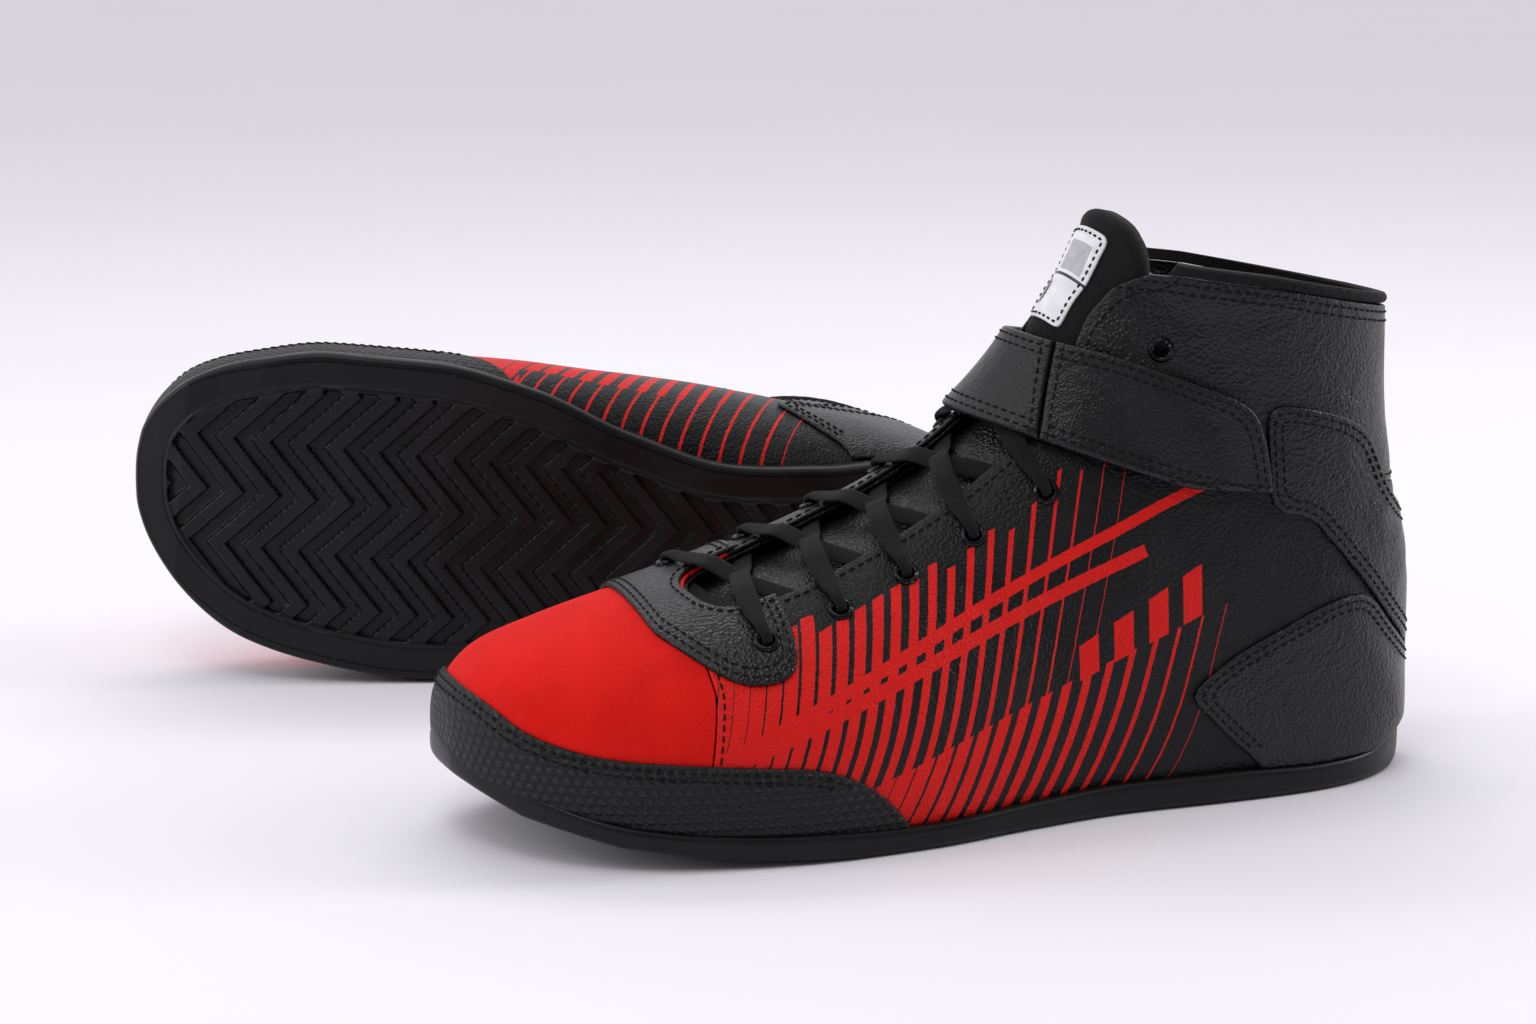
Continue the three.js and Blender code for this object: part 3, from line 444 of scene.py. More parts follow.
def solid_from(sheet, inner, top):
    n = len(sheet.points)
    outside = sheet.points + sheet.normals * np.reshape(top, (-1, 1))
    inside = sheet.points + sheet.normals * inner
    edge = sheet.boundary()
    a, b = edge[:, 0], edge[:, 1]
    faces = np.vstack([
        sheet.faces, sheet.faces[:, ::-1] + n,
        np.stack([b, a, a + n], 1), np.stack([b, a + n, b + n], 1),
    ])
    arc = np.concatenate([sheet.values["arc"]] * 2)
    return np.vstack([outside, inside]), faces, arc


def lines_at(sheet, top, field, level, where=None):
    """Ordered polylines on a sheet's outer face where a field passes a level: (points, normals)."""
    f = sheet.values[field] - level
    f = np.where(np.abs(f) < 1e-9, 1e-9, f)
    outside = sheet.points + sheet.normals * np.reshape(top, (-1, 1))
    above = f > 0
    found = {}
    ends = {}
    count = above[sheet.faces].sum(1)
    for face in sheet.faces[(count == 1) | (count == 2)]:
        keys = []
        for i, j in ((0, 1), (1, 2), (2, 0)):
            p, q = face[i], face[j]
            if above[p] != above[q]:
                key = (min(p, q), max(p, q))
                if key not in found:
                    s = f[p] / (f[p] - f[q])
                    point = outside[p] * (1 - s) + outside[q] * s
                    normal = sheet.normals[p] * (1 - s) + sheet.normals[q] * s
                    found[key] = (point, normal)
                keys.append(key)
        if len(keys) == 2:
            ends.setdefault(keys[0], []).append(keys[1])
            ends.setdefault(keys[1], []).append(keys[0])
    lines = []
    left = set(ends)
    while left:
        start = next((k for k in left if len(ends[k]) == 1), None) or next(iter(sorted(left)))
        chain = [start]
        left.discard(start)
        while True:
            following = [k for k in ends[chain[-1]] if k in left]
            if not following:
                break
            chain.append(following[0])
            left.discard(following[0])
        run = []
        for key in chain:
            if where is None or where(found[key][0]):
                run.append(found[key])
            else:
                if len(run) > 3:
                    lines.append(run)
                run = []
        if len(run) > 3:
            lines.append(run)
    return lines


STITCH_LENGTH = 2.3
STITCH_GAP = 0.75
THREAD = 0.34
# Along a stitch: share of its length, share of the thread's radius, lift in threads' widths.
STITCH_SHAPE = [
    (-0.5, 0.0, -0.35), (-0.42, 0.75, -0.05), (-0.2, 1.0, 0.2), (0.2, 1.0, 0.2),
    (0.42, 0.75, -0.05), (0.5, 0.0, -0.35),
]


def stitches(lines, length):
    """Short rounded stitches laid along the lines, sunk a little into the leather."""
    points, faces = [], []
    turns = 6
    for line in lines:
        p = np.array([q[0] for q in line])
        n = np.array([q[1] for q in line])
        t = lengths_along(p)
        if t[-1] < length:
            continue
        keep = np.concatenate([[True], np.diff(t) > 1e-6])
        p, n, t = p[keep], n[keep], t[keep]
        at = lambda s: np.array([np.interp(s, t, p[:, k]) for k in range(3)])
        for middle in np.arange(length / 2 + 0.3, t[-1] - length / 2, length + STITCH_GAP):
            a, b = at(middle - length / 2), at(middle + length / 2)
            axis = (b - a) / max(np.linalg.norm(b - a), 1e-9)
            up = np.array([np.interp(middle, t, n[:, k]) for k in range(3)])
            up = up - axis * (up @ axis)
            up /= max(np.linalg.norm(up), 1e-9)
            across = np.cross(axis, up)
            start = sum(len(q) for q in points)
            ring = []
            for share, size, lift in STITCH_SHAPE[1:-1]:
                centre = (a + b) / 2 + axis * share * length + up * lift * THREAD * 2
                for k in range(turns):
                    angle = 2 * math.pi * k / turns
                    ring.append(centre + THREAD * size * (across * math.cos(angle) + up * math.sin(angle)))
            tips = [(a + b) / 2 + axis * share * length + up * lift * THREAD * 2
                    for share, _, lift in (STITCH_SHAPE[0], STITCH_SHAPE[-1])]
            points.append(np.array(ring + tips))
            levels = len(STITCH_SHAPE) - 2
            for level in range(levels - 1):
                for k in range(turns):
                    i, j = start + level * turns + k, start + level * turns + (k + 1) % turns
                    faces += [(i, i + turns, j), (j, i + turns, j + turns)]
            tip = start + levels * turns
            for k in range(turns):
                j = (k + 1) % turns
                faces.append((tip, start + k, start + j))
                last = start + (levels - 1) * turns
                faces.append((tip + 1, last + j, last + k))
    if not points:
        return None
    return np.vstack(points), np.array(faces)


# ---- Placing pieces -------------------------------------------------------------------------------
def turn(axis, degrees):
    a = math.radians(degrees)
    c, s = math.cos(a), math.sin(a)
    return np.array({
        "x": [[1, 0, 0], [0, c, -s], [0, s, c]],
        "y": [[c, 0, s], [0, 1, 0], [-s, 0, c]],
        "z": [[c, -s, 0], [s, c, 0], [0, 0, 1]],
    }[axis])


LYING_TURN = turn("z", LYING["turn"]) @ turn("y", LYING["toe_rise"]) @ turn("x", LYING["roll"])


def lying_height():
    """How far the lying boot is raised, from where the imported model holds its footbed."""
    mesh = frame["nodes"]["left_footbed"].data
    p = np.array([v.co for v in mesh.vertices]) / MM
    mirrored = np.stack([p[:, 0] - LEFT_HEEL, -p[:, 1], p[:, 2]], 1)
    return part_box("right_footbed")[0].z / MM - (mirrored @ LYING_TURN.T)[:, 2].min()


LYING_AT = np.array([LYING["x"], LYING["y"], lying_height()])


def placed(points, side):
    p = np.asarray(points, float).reshape(-1, 3)
    if side == "left":
        return np.stack([LEFT_HEEL - p[:, 0], -p[:, 1], p[:, 2]], 1) * MM
    return (np.stack([-p[:, 0], p[:, 1], p[:, 2]], 1) @ LYING_TURN.T + LYING_AT) * MM


def make_mesh(name, points, faces, side, look, uvs):
    faces = np.asarray(faces)
    if side == "right":
        faces = faces[:, ::-1]
    mesh = bpy.data.meshes.new(name)
    mesh.from_pydata(placed(points, side).tolist(), [], faces.tolist())
    mesh.polygons.foreach_set("use_smooth", np.full(len(mesh.polygons), True))
    corner = np.zeros(len(mesh.loops), np.int64)
    mesh.loops.foreach_get("vertex_index", corner)
    local = np.asarray(points, float).reshape(-1, 3)
    layers = {"side": local[:, [0, 2]] / UV_SIZE, **uvs}
    for uv_name, values in layers.items():
        uv = mesh.uv_layers.new(name=uv_name)
        uv.data.foreach_set("uv", np.asarray(values)[corner].astype(np.float32).ravel())
    mesh.materials.append(look)
    mesh.validate()
    made = bpy.data.objects.new(name, mesh)
    bpy.context.scene.collection.objects.link(made)
    return made


def add(name, solid, look, body="boot", replaces=None, uvs=None, sharp=None):
    """Places one piece for both boots. It replaces the nodes of its own name, unless told otherwise."""
    nodes = [name] if replaces is None else replaces
    points, faces = solid[0], solid[1]
    uvs = dict(uvs or {})
    if len(solid) > 2:
        uvs["wrap"] = np.stack([solid[2], np.asarray(points)[:, 2]], 1) / UV_SIZE
    for side in ("left", "right"):
        made = make_mesh(f"{side}_{name}_form", points, faces, side, look, uvs)
        if sharp:
            made.data.set_sharp_from_angle(angle=math.radians(sharp))
        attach(made, f"{side}_{body}")
        if nodes:
            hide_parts(*[f"{side}_{node}" for node in nodes])


# ---- Materials ------------------------------------------------------------------------------------
class Value:
    """A number that varies over a surface. Its arithmetic makes the nodes that work it out."""

    def __init__(self, look, socket):
        self.look = look
        self.socket = socket

    def __add__(self, other):
        return self.look.math("ADD", self, other)

    def __sub__(self, other):
        return self.look.math("SUBTRACT", self, other)

    def __rsub__(self, other):
        return self.look.math("SUBTRACT", other, self)

    def __mul__(self, other):
        return self.look.math("MULTIPLY", self, other)

    def __truediv__(self, other):
        return self.look.math("DIVIDE", self, other)

    def __mod__(self, other):
        return self.look.math("MODULO", self, other)

    def __lt__(self, other):
        return self.look.math("LESS_THAN", self, other)

    def __gt__(self, other):
        return self.look.math("GREATER_THAN", self, other)

    def __abs__(self):
        return self.look.math("ABSOLUTE", self)

    def floor(self):
        return self.look.math("FLOOR", self)

    def fract(self):
        return self.look.math("FRACT", self)

    def log(self):
        return self.look.math("LOGARITHM", self, math.e)

    def at_least(self, low):
        return self.look.math("MAXIMUM", self, low)

    def limited(self, low=0.0, high=1.0):
        return self.look.math("MINIMUM", self.at_least(low), high)

    def between(self, low, high):
        return (self > low) * (self < high)

    def spread(self, low, high, to_low, to_high):
        """The value's range from low to high, spread over another range and held at its ends."""
        made = self.look.node("ShaderNodeMapRange")
        self.look.feed(made.inputs["Value"], self)
        numbers = {"From Min": low, "From Max": high, "To Min": to_low, "To Max": to_high}
        for key, number in numbers.items():
            made.inputs[key].default_value = number
        return Value(self.look, made.outputs["Result"])

    def noise_to(self, to_low, to_high):
        """A noise's usual range spread over another range."""
        return self.spread(0.3, 0.7, to_low, to_high)


class Look:
    """A node material, with short names for what its nodes do. Sizes are in millimetres."""

    INPUTS = {
        "color": "Base Color", "rough": "Roughness", "metal": "Metallic", "coat": "Coat Weight",
        "coat_rough": "Coat Roughness", "sheen": "Sheen Weight", "sheen_rough": "Sheen Roughness",
        "specular": "Specular IOR Level",
    }

    def __init__(self, name):
        self.material = bpy.data.materials.new(name)
        self.material.use_nodes = True
        self.tree = self.material.node_tree
        self.shader = self.tree.nodes["Principled BSDF"]
        self.bumps = None

    def node(self, kind, **settings):
        made = self.tree.nodes.new(kind)
        for key, value in settings.items():
            setattr(made, key, value)
        return made

    def feed(self, socket, value):
        if isinstance(value, Value):
            value = value.socket
        if isinstance(value, bpy.types.NodeSocket):
            self.tree.links.new(value, socket)
        else:
            socket.default_value = value

    def math(self, operation, a, b=0.0):
        made = self.node("ShaderNodeMath", operation=operation)
        self.feed(made.inputs[0], a)
        self.feed(made.inputs[1], b)
        return Value(self, made.outputs[0])

    def uv(self, name):
        source = self.node("ShaderNodeUVMap", uv_map=name)
        split = self.node("ShaderNodeSeparateXYZ")
        self.tree.links.new(source.outputs[0], split.inputs[0])
        return [Value(self, split.outputs[k]) * UV_SIZE for k in (0, 1)]

    def texture(self, kind, size):
        made = self.node(kind)
        place = self.node("ShaderNodeTexCoord").outputs["Object"]
        self.tree.links.new(place, made.inputs["Vector"])
        made.inputs["Scale"].default_value = 1 / (size * MM)
        return made

    def noise(self, size, detail=3.0, roughness=0.55, distortion=0.0):
        made = self.texture("ShaderNodeTexNoise", size)
        made.inputs["Detail"].default_value = detail
        made.inputs["Roughness"].default_value = roughness
        made.inputs["Distortion"].default_value = distortion
        return Value(self, made.outputs[0])

    def cells(self, size):
        return Value(self, self.texture("ShaderNodeTexVoronoi", size).outputs["Distance"])

    def mix(self, factor, a, b):
        made = self.node("ShaderNodeMix", data_type="RGBA")
        self.feed(made.inputs[0], factor)
        for socket, colour in ((made.inputs[6], a), (made.inputs[7], b)):
            self.feed(socket, (*colour, 1) if isinstance(colour, tuple) else colour)
        return made.outputs[2]

    def set(self, **values):
        for key, value in values.items():
            self.feed(self.shader.inputs[self.INPUTS[key]], value)

    def bump(self, height, depth, strength=1.0):
        made = self.node("ShaderNodeBump")
        self.feed(made.inputs["Height"], height)
        made.inputs["Distance"].default_value = depth * MM
        made.inputs["Strength"].default_value = strength
        if self.bumps:
            self.tree.links.new(self.bumps, made.inputs["Normal"])
        self.bumps = made.outputs[0]
        self.tree.links.new(self.bumps, self.shader.inputs["Normal"])


BLACK = (0.0045, 0.0045, 0.0050)
BLACK_WORN = (0.0085, 0.0085, 0.0092)
RED = (0.74, 0.009, 0.005)
RED_DEEP = (0.60, 0.006, 0.004)


def leather_surface(look, grain, depth, dark, light, rough):
    """Pebbled grain, soft creases and a slow change of colour and gloss."""
    slow = look.noise(26)
    cells = look.cells(grain)
    pebbles = cells.spread(0.05, 0.75, 1, 0) + look.noise(0.5, 2) * 0.35
    look.bump(look.noise(9, 3, 0.6, 0.9), 0.9, 0.7)
    look.bump(pebbles, depth, 0.9)
    colour = look.mix(slow.noise_to(0, 1), dark, light)
    roughness = slow.noise_to(*rough) + cells.spread(0, 0.8, -0.03, 0.06)
    return colour, roughness


def black_leather(name, grain=1.15, depth=0.24, dark=BLACK, light=BLACK_WORN, rough=(0.24, 0.36),
                  coat=0.0):
    look = Look(name)
    colour, roughness = leather_surface(look, grain, depth, dark, light, rough)
    look.set(color=colour, rough=roughness, coat=coat, coat_rough=0.35, specular=0.32)
    return look.material


# ---- Printed stripes, in side view ----------------------------------------------------------------
STRIPE_PERIOD = 7.3  # at the heel end
STRIPE_NARROWING = 0.0193  # how much narrower each next stripe is, towards the toe
STRIPE_START = 95.0
STRIPE_SLANT = 0.27
STRIPE_BEND = 0.0041  # how fast the stripes turn forward below BEND_BELOW
BEND_BELOW = 40.0
LEAN = 0.35  # slant of the long bars' ends
UNEVEN_STEP = 0.381  # spreads the stripes' ends over a few heights


def stripe_places(x, z):
    """The slanted place across the stripes, the distance from a stripe's middle, and its number."""
    low = (BEND_BELOW - z).at_least(0.0)
    u = x + z * STRIPE_SLANT - low * low * STRIPE_BEND
    shrunk = 1.0 - (u - STRIPE_START) * (STRIPE_NARROWING / STRIPE_PERIOD)
    count = shrunk.at_least(0.05).log() / -STRIPE_NARROWING
    return u, abs(count.fract() - 0.5), count


def uneven(count, height):
    """A different small length for each stripe."""
    return (count.floor() * UNEVEN_STEP).fract() * height


def share_of_stripe(u, start, reach, least, most, from_u):
    """How much of its period a stripe fills: it grows along u, and is nothing before from_u."""
    return ((u - start) * (1 / reach)).limited(least, most) * (u > from_u)


def long_bar(x, z, at_x, at_z, slope, half, reach):
    """1 within half a bar's height of a sloping line, between two places along it."""
    line = (x - at_x) * slope + at_z
    return (abs(z - line) < half) * (z * -LEAN + x).between(*reach)


def plain_mark(x, z):
    """Four slanted bars that grow towards the heel."""
    back, up = 124.0 - x, z - 47.0
    along = back * 0.91 + up * 0.41
    across = up * 0.91 - back * 0.41
    slanted = across * -0.45 + along
    bars = (slanted / 12.5).fract() < 0.56
    tall = abs(across) < slanted * 0.05 + 4.6
    return bars * tall * slanted.between(0.0, 49.0)


def lateral_print(x, z):
    u, off, count = stripe_places(x, z)
    from_slot = x.look.uv("slot")[0]
    upper = share_of_stripe(u, 134.0, 112, 0.035, 0.94, 128.0)
    lower = share_of_stripe(u, 88.0, 108, 0.04, 0.93, 91.0)
    top = (204.0 - x).at_least(0.0) * 0.42 + 62.0 + (x > 204.0) * 60.0 + (u < 166.0) * 8.0
    is_low = z < (189.0 - x) * 0.345 + 21.0
    stripes = is_low * (off < lower * 0.5) + (1.0 - is_low) * (off < upper * 0.5) * (z < top)
    stripes = stripes * (from_slot - uneven(count, 3.0) > 9.0)
    bars = long_bar(x, z, 88.0, 93.5, -0.42, 1.75, (40.0, 229.0))
    bars = bars + long_bar(x, z, 101.5, 78.0, -0.365, 2.0, (74.0, 229.0))
    return (stripes + plain_mark(x, z) + bars).limited()


def medial_print(x, z):
    u, off, count = stripe_places(x, z)
    stair = uneven(count, 3.0)
    upper = share_of_stripe(u, 86.0, 112, 0.07, 0.93, 84.0)
    top = (x - 206.0).at_least(0.0) * 2.0 + 56.0 + stair
    is_low = (z < (175.0 - x) * 0.10 + 17.0) * (x < 178.0)
    stripes = is_low * (off < 0.075) * (u > 84.0) + (1.0 - is_low) * (off < upper * 0.5) * (z < top)
    dashes = (count * 0.83 + 0.2).fract() < 0.62
    row = (z - stair).between(58.5, 60.6) * x.between(92.0, 206.0)
    return (stripes + dashes * row).limited()


def printed_leather(name, pattern):
    look = Look(name)
    black = (0.0048, 0.0048, 0.0053)
    leather, roughness = leather_surface(look, 1.0, 0.195, black, BLACK_WORN, (0.3, 0.44))
    x, z = look.uv("side")
    wander = (look.noise(1.6, 2) - 0.5) * 0.35
    mask = pattern(x + wander, z + wander) * (look.noise(0.8, 2, 0.7) > 0.30)
    red = look.mix(look.noise(9), RED_DEEP, RED)
    look.set(color=look.mix(mask, leather, red), rough=mask * 0.16 + roughness, specular=0.2)
    look.bump(mask, 0.05, 0.6)
    return look.material


# ---- The other materials --------------------------------------------------------------------------
def red_suede():
    look = Look("red_suede")
    nap = look.noise(0.55, 4, 0.75)
    slow = look.noise(16)
    base = look.mix(slow.noise_to(0, 1), RED_DEEP, (0.76, 0.010, 0.006))
    fine = look.mix(nap.spread(0.35, 0.65, 0, 1), (0.46, 0.004, 0.003), (0.82, 0.014, 0.009))
    look.set(color=look.mix(0.4, base, fine), rough=nap.spread(0.2, 0.8, 0.78, 0.95))
    look.set(sheen=0.03, sheen_rough=0.5, specular=0.12)
    look.bump(slow, 0.25, 0.3)
    look.bump(nap, 0.14, 0.8)
    return look.material


def rubber(name, rough=(0.3, 0.42)):
    look = Look(name)
    slow = look.noise(22)
    fine = look.noise(0.9)
    dust = look.noise(3.5, 4, 0.7).spread(0.62, 0.78, 0, 0.25)
    clean = look.mix(slow.noise_to(0, 1), (0.0048, 0.0048, 0.0052), BLACK_WORN)
    roughness = slow.noise_to(*rough) + fine.noise_to(-0.03, 0.05)
    look.set(color=look.mix(dust, clean, (0.02, 0.0195, 0.0195)), rough=roughness, specular=0.22)
    look.bump(look.noise(6), 0.2, 0.35)
    look.bump(fine, 0.05, 0.6)
    return look.material


def embossed_rubber():
    """Staggered round dots on a matte black skin."""
    look = Look("embossed_rubber")
    along, z = look.uv("wrap")
    row = z / 2.7
    across = (along / 3.1 + row.floor() % 2.0 * 0.5).fract() - 0.5
    down = row.fract() - 0.5
    radius = look.math("SQRT", across * across + down * down)
    dot = radius.spread(0.22, 0.44, 1, 0)
    fine = look.noise(0.7)
    look.set(color=look.mix(dot, BLACK, (0.0085, 0.0085, 0.009)))
    look.set(rough=fine.noise_to(0.5, 0.62) - dot * 0.1, specular=0.3)
    look.bump(dot, 0.42)
    look.bump(fine, 0.07, 0.6)
    return look.material


def thread_wave(look, place, pitch, shift=0.0):
    return abs(look.math("SINE", place * (math.pi / pitch) + shift))


def woven(name, uv_name, pitch, dark, light, depth=0.16):
    """A fine weave: two crossing sets of rounded threads, with painted shade: the colour is darker in the
    grooves between the threads and lighter on their crowns.
    """
    look = Look(name)
    s, t = look.uv(uv_name)
    height = thread_wave(look, s + t, pitch).at_least(thread_wave(look, s - t, pitch, 0.8))
    fuzz = look.noise(0.45, 3, 0.7)
    # Painted shade: the colour follows the thread height, dark in the grooves between threads and light on
    # their crowns.
    look.set(color=look.mix(height * fuzz.spread(0.2, 0.8, 0.6, 1.0), dark, light))
    look.set(rough=fuzz.noise_to(0.75, 0.92), sheen=0.04, sheen_rough=0.5, specular=0.15)
    look.bump(height, depth, 0.9)
    look.bump(fuzz, 0.08, 0.8)
    return look.material


def label_satin():
    """White satin with a grey woven field and a plain black motif. It holds no lettering."""
    look = Look("label_satin")
    s, y = look.uv("throat")
    weave = thread_wave(look, s, 0.35)
    shine = look.noise(5).noise_to(0, 1)
    white = look.mix(shine, (0.66, 0.66, 0.69), (0.84, 0.84, 0.87))
    grey = look.mix(shine, (0.34, 0.34, 0.36), (0.48, 0.48, 0.5))
    field = s.between(30.5, 39.5) * y.between(-2.0, 8.0)
    blot_s = (s - 23.5) / 4.5
    blot_y = (y + 3.5) / 1.8
    wobble = look.noise(2.5, 2).spread(0.2, 0.8, -0.6, 0.6)
    blot = wobble + blot_s * blot_s + blot_y * blot_y < 1.0
    dark = (s.between(28.6, 29.5) + blot).limited()
    look.set(color=look.mix(dark, look.mix(field, white, grey), (0.02, 0.02, 0.022)))
    look.set(rough=weave.spread(0, 1, 0.34, 0.5), sheen=0.3, sheen_rough=0.4, specular=0.5)
    look.bump(weave, 0.05, 0.6)
    look.bump(look.noise(8, 2), 0.3, 0.3)
    return look.material


def pile(name, dark, light, size, depth=0.35):
    look = Look(name)
    tufts = look.cells(size)
    fuzz = look.noise(size * 0.4, 3, 0.7)
    look.set(color=look.mix(tufts, light, dark), rough=fuzz.noise_to(0.8, 0.95))
    look.set(sheen=0.04, sheen_rough=0.5, specular=0.12)
    look.bump(tufts, depth, 0.8)
    look.bump(fuzz, 0.1, 0.8)
    return look.material


def enamel():
    look = Look("eyelet_enamel")
    wear = look.noise(1.2, 4, 0.7).spread(0.60, 0.72, 0, 1)
    look.set(color=look.mix(wear, (0.012, 0.012, 0.014), (0.32, 0.32, 0.33)), metal=0.85)
    look.set(rough=look.noise(2.0, 2).noise_to(0.16, 0.3))
    look.bump(look.noise(1.0, 2), 0.02, 0.5)
    return look.material


def thread():
    look = Look("thread")
    fine = look.noise(0.3, 2)
    look.set(color=look.mix(fine, (0.002, 0.002, 0.0022), (0.006, 0.006, 0.0065)))
    look.set(rough=fine.spread(0, 1, 0.55, 0.75), specular=0.15)
    look.bump(fine, 0.05, 0.8)
    return look.material


def fibre_board():
    look = Look("fibre_board")
    fibres = look.noise(0.8, 4, 0.7)
    look.set(color=look.mix(fibres, (0.20, 0.15, 0.10), (0.38, 0.31, 0.23)))
    look.set(rough=fibres.noise_to(0.8, 0.95))
    look.bump(fibres, 0.1, 0.7)
    return look.material


LEATHER = black_leather("grained_leather")
GLOSSY = black_leather("glossy_leather", grain=1.0, depth=0.3, rough=(0.27, 0.38), coat=0.1)
STRAP_LEATHER = black_leather("strap_leather", grain=0.8, depth=0.135, dark=(0.006, 0.006, 0.0066),
                              light=(0.010, 0.010, 0.0108), rough=(0.28, 0.38))
LATERAL_PRINT = printed_leather("printed_leather_lateral", lateral_print)
MEDIAL_PRINT = printed_leather("printed_leather_medial", medial_print)
SUEDE = red_suede()
RUBBER = rubber("outsole_rubber")
EMBOSSED = embossed_rubber()
LACE_WEAVE = woven("lace_weave", "ribbon", 0.95, (0.0025, 0.0025, 0.0028), (0.0095, 0.0095, 0.010))
KNIT = woven("knit", "wrap", 1.1, (0.003, 0.003, 0.0033), (0.011, 0.011, 0.0115), depth=0.25)
LINING_LOOK = pile("lining_mesh", (0.008, 0.008, 0.009), (0.022, 0.022, 0.023), 1.1)
TAPE_LOOK = pile("tape_pile", (0.006, 0.006, 0.007), (0.02, 0.02, 0.021), 0.7, 0.5)
FOAM = pile("footbed_cloth", (0.012, 0.012, 0.013), (0.03, 0.03, 0.032), 0.8, 0.2)
LABEL = label_satin()
ENAMEL = enamel()
THREAD_LOOK = thread()
BOARD_LOOK = fibre_board()
AGLET = rubber("aglet_plastic", rough=(0.15, 0.25))


# ---- Upper ----------------------------------------------------------------------------------------
TREE = BVHTree.FromPolygons(LAST_SHEET.points.tolist(), LAST_SHEET.faces.tolist())
THROAT_OUT = np.array([1, 0, 1]) / math.sqrt(2)
THROAT_UP = np.array([-1, 0, 1]) / math.sqrt(2)


def under_throat(s, y):
    """The last's surface under a place in the throat view: the point there and its normal."""
    origin = THROAT_UP * s + np.array([0, y, 0]) + THROAT_OUT * 600
    hit, _, index, _ = TREE.ray_cast(Vector(origin), Vector(-THROAT_OUT))
    hit = np.array(hit)
    corners = LAST_SHEET.faces[index]
    a, b, c = LAST_SHEET.points[corners]
    areas = [np.linalg.norm(np.cross(q - hit, r - hit)) for q, r in ((b, c), (c, a), (a, b))]
    normal = (np.array(areas)[:, None] * LAST_SHEET.normals[corners]).sum(0)
    return hit, normal / np.linalg.norm(normal)


# Heights over the last of each layer's inner and outer face.
UPPER, OVERLAY = (-1.2, 0), (0.3, 1.5)
RIB, STRIP, STRAP = (1.5, 4.7), (0.3, 2.3), (2.7, 4.7)
HOOKS, LOOPS = (1.5, 2.4), (0.3, 1.2)
LINING, FACING, BINDING = (-4.2, -2.9), (-2.6, -1.5), (-4.4, 0.6)
FLAT_TONGUE, TONGUE_TOP, TONGUE_LABEL = (-9, -6), (-8, -1.2), (-1.15, -0.3)
# Each pair of eyelets: x and z in side view, then the lateral and the medial y.
EYELETS = [
    (219, 60, 38, -16), (196, 68, 35, -17), (175, 76, 31.5, -17), (154, 86, 28, -17), (133, 99, 27, -18),
    (102, 144, 25, -24),
]
LACED = 5  # pairs that the lace runs through
EYES = {
    side: [under_throat((z - x) / math.sqrt(2), ys[k]) for x, z, *ys in EYELETS]
    for k, side in enumerate(("lateral", "medial"))
}
HOLE = 3.05  # radius of the leather's holes
SIGN = {"lateral": 1, "medial": -1}


def clear_of_holes(points):
    best = np.full(len(points), 1e9)
    for point, normal in EYES["lateral"] + EYES["medial"]:
        away = points - point
        along = away @ normal
        across = np.linalg.norm(away - along[:, None] * normal, axis=1)
        best = np.minimum(best, np.where(np.abs(along) < 12, across, 60) - HOLE)
    return best


def on_side(sign):
    def field(p):
        return np.where(p[:, 0] < 150, sign * p[:, 1], sign * (p[:, 1] - 7)) - SEAM / 2
    return field


def outside_slot(p):
    return -in_slot(p)


def inside_of(outline, radius=8.0):
    return lambda p: in_outline(p, outline, radius)


def clear_of_strip(p):
    behind = (p[:, 0] < 30) & (p[:, 2] < 75)
    reach = np.maximum(np.abs(p[:, 1]) - HEEL_STRIP_WIDTH / 2 - 0.3, p[:, 2] - HEEL_STRIP_TOP - 0.3)
    return np.where(behind, reach, 30)


STITCHING = {"boot": [], "strap": [], "strap_tail": []}


def sew(made, fields, levels, where=None, body="boot", length=STITCH_LENGTH):
    """Stitch rows at the given distances inside the edges that the named fields make."""
    _, sheet, top = made
    sheet.values["rows"] = np.min([sheet.values[f] for f in fields], axis=0)
    for level in levels:
        rows = stitches(lines_at(sheet, top, "rows", level, where), length)
        if rows:
            STITCHING[body].append(rows)


ahead_of_seam = lambda p: ahead_of_vamp_seam(p) - SEAM / 2
behind_seam = lambda p: -ahead_of_vamp_seam(p) - SEAM / 2
over_seam = lambda p: above_shaft_seam(p) - SEAM / 2
under_seam = lambda p: -above_shaft_seam(p) - SEAM / 2
under_binding = lambda p: below_collar(p, 3.7)

vamp = layer(UPPER, [ahead_of_seam, lambda p: -in_slot(p, 2.5, 3),
                     lambda p: 4 - in_outline(p, TOE_GUARD)], edge=0.5)
add("vamp", vamp[0], SUEDE)

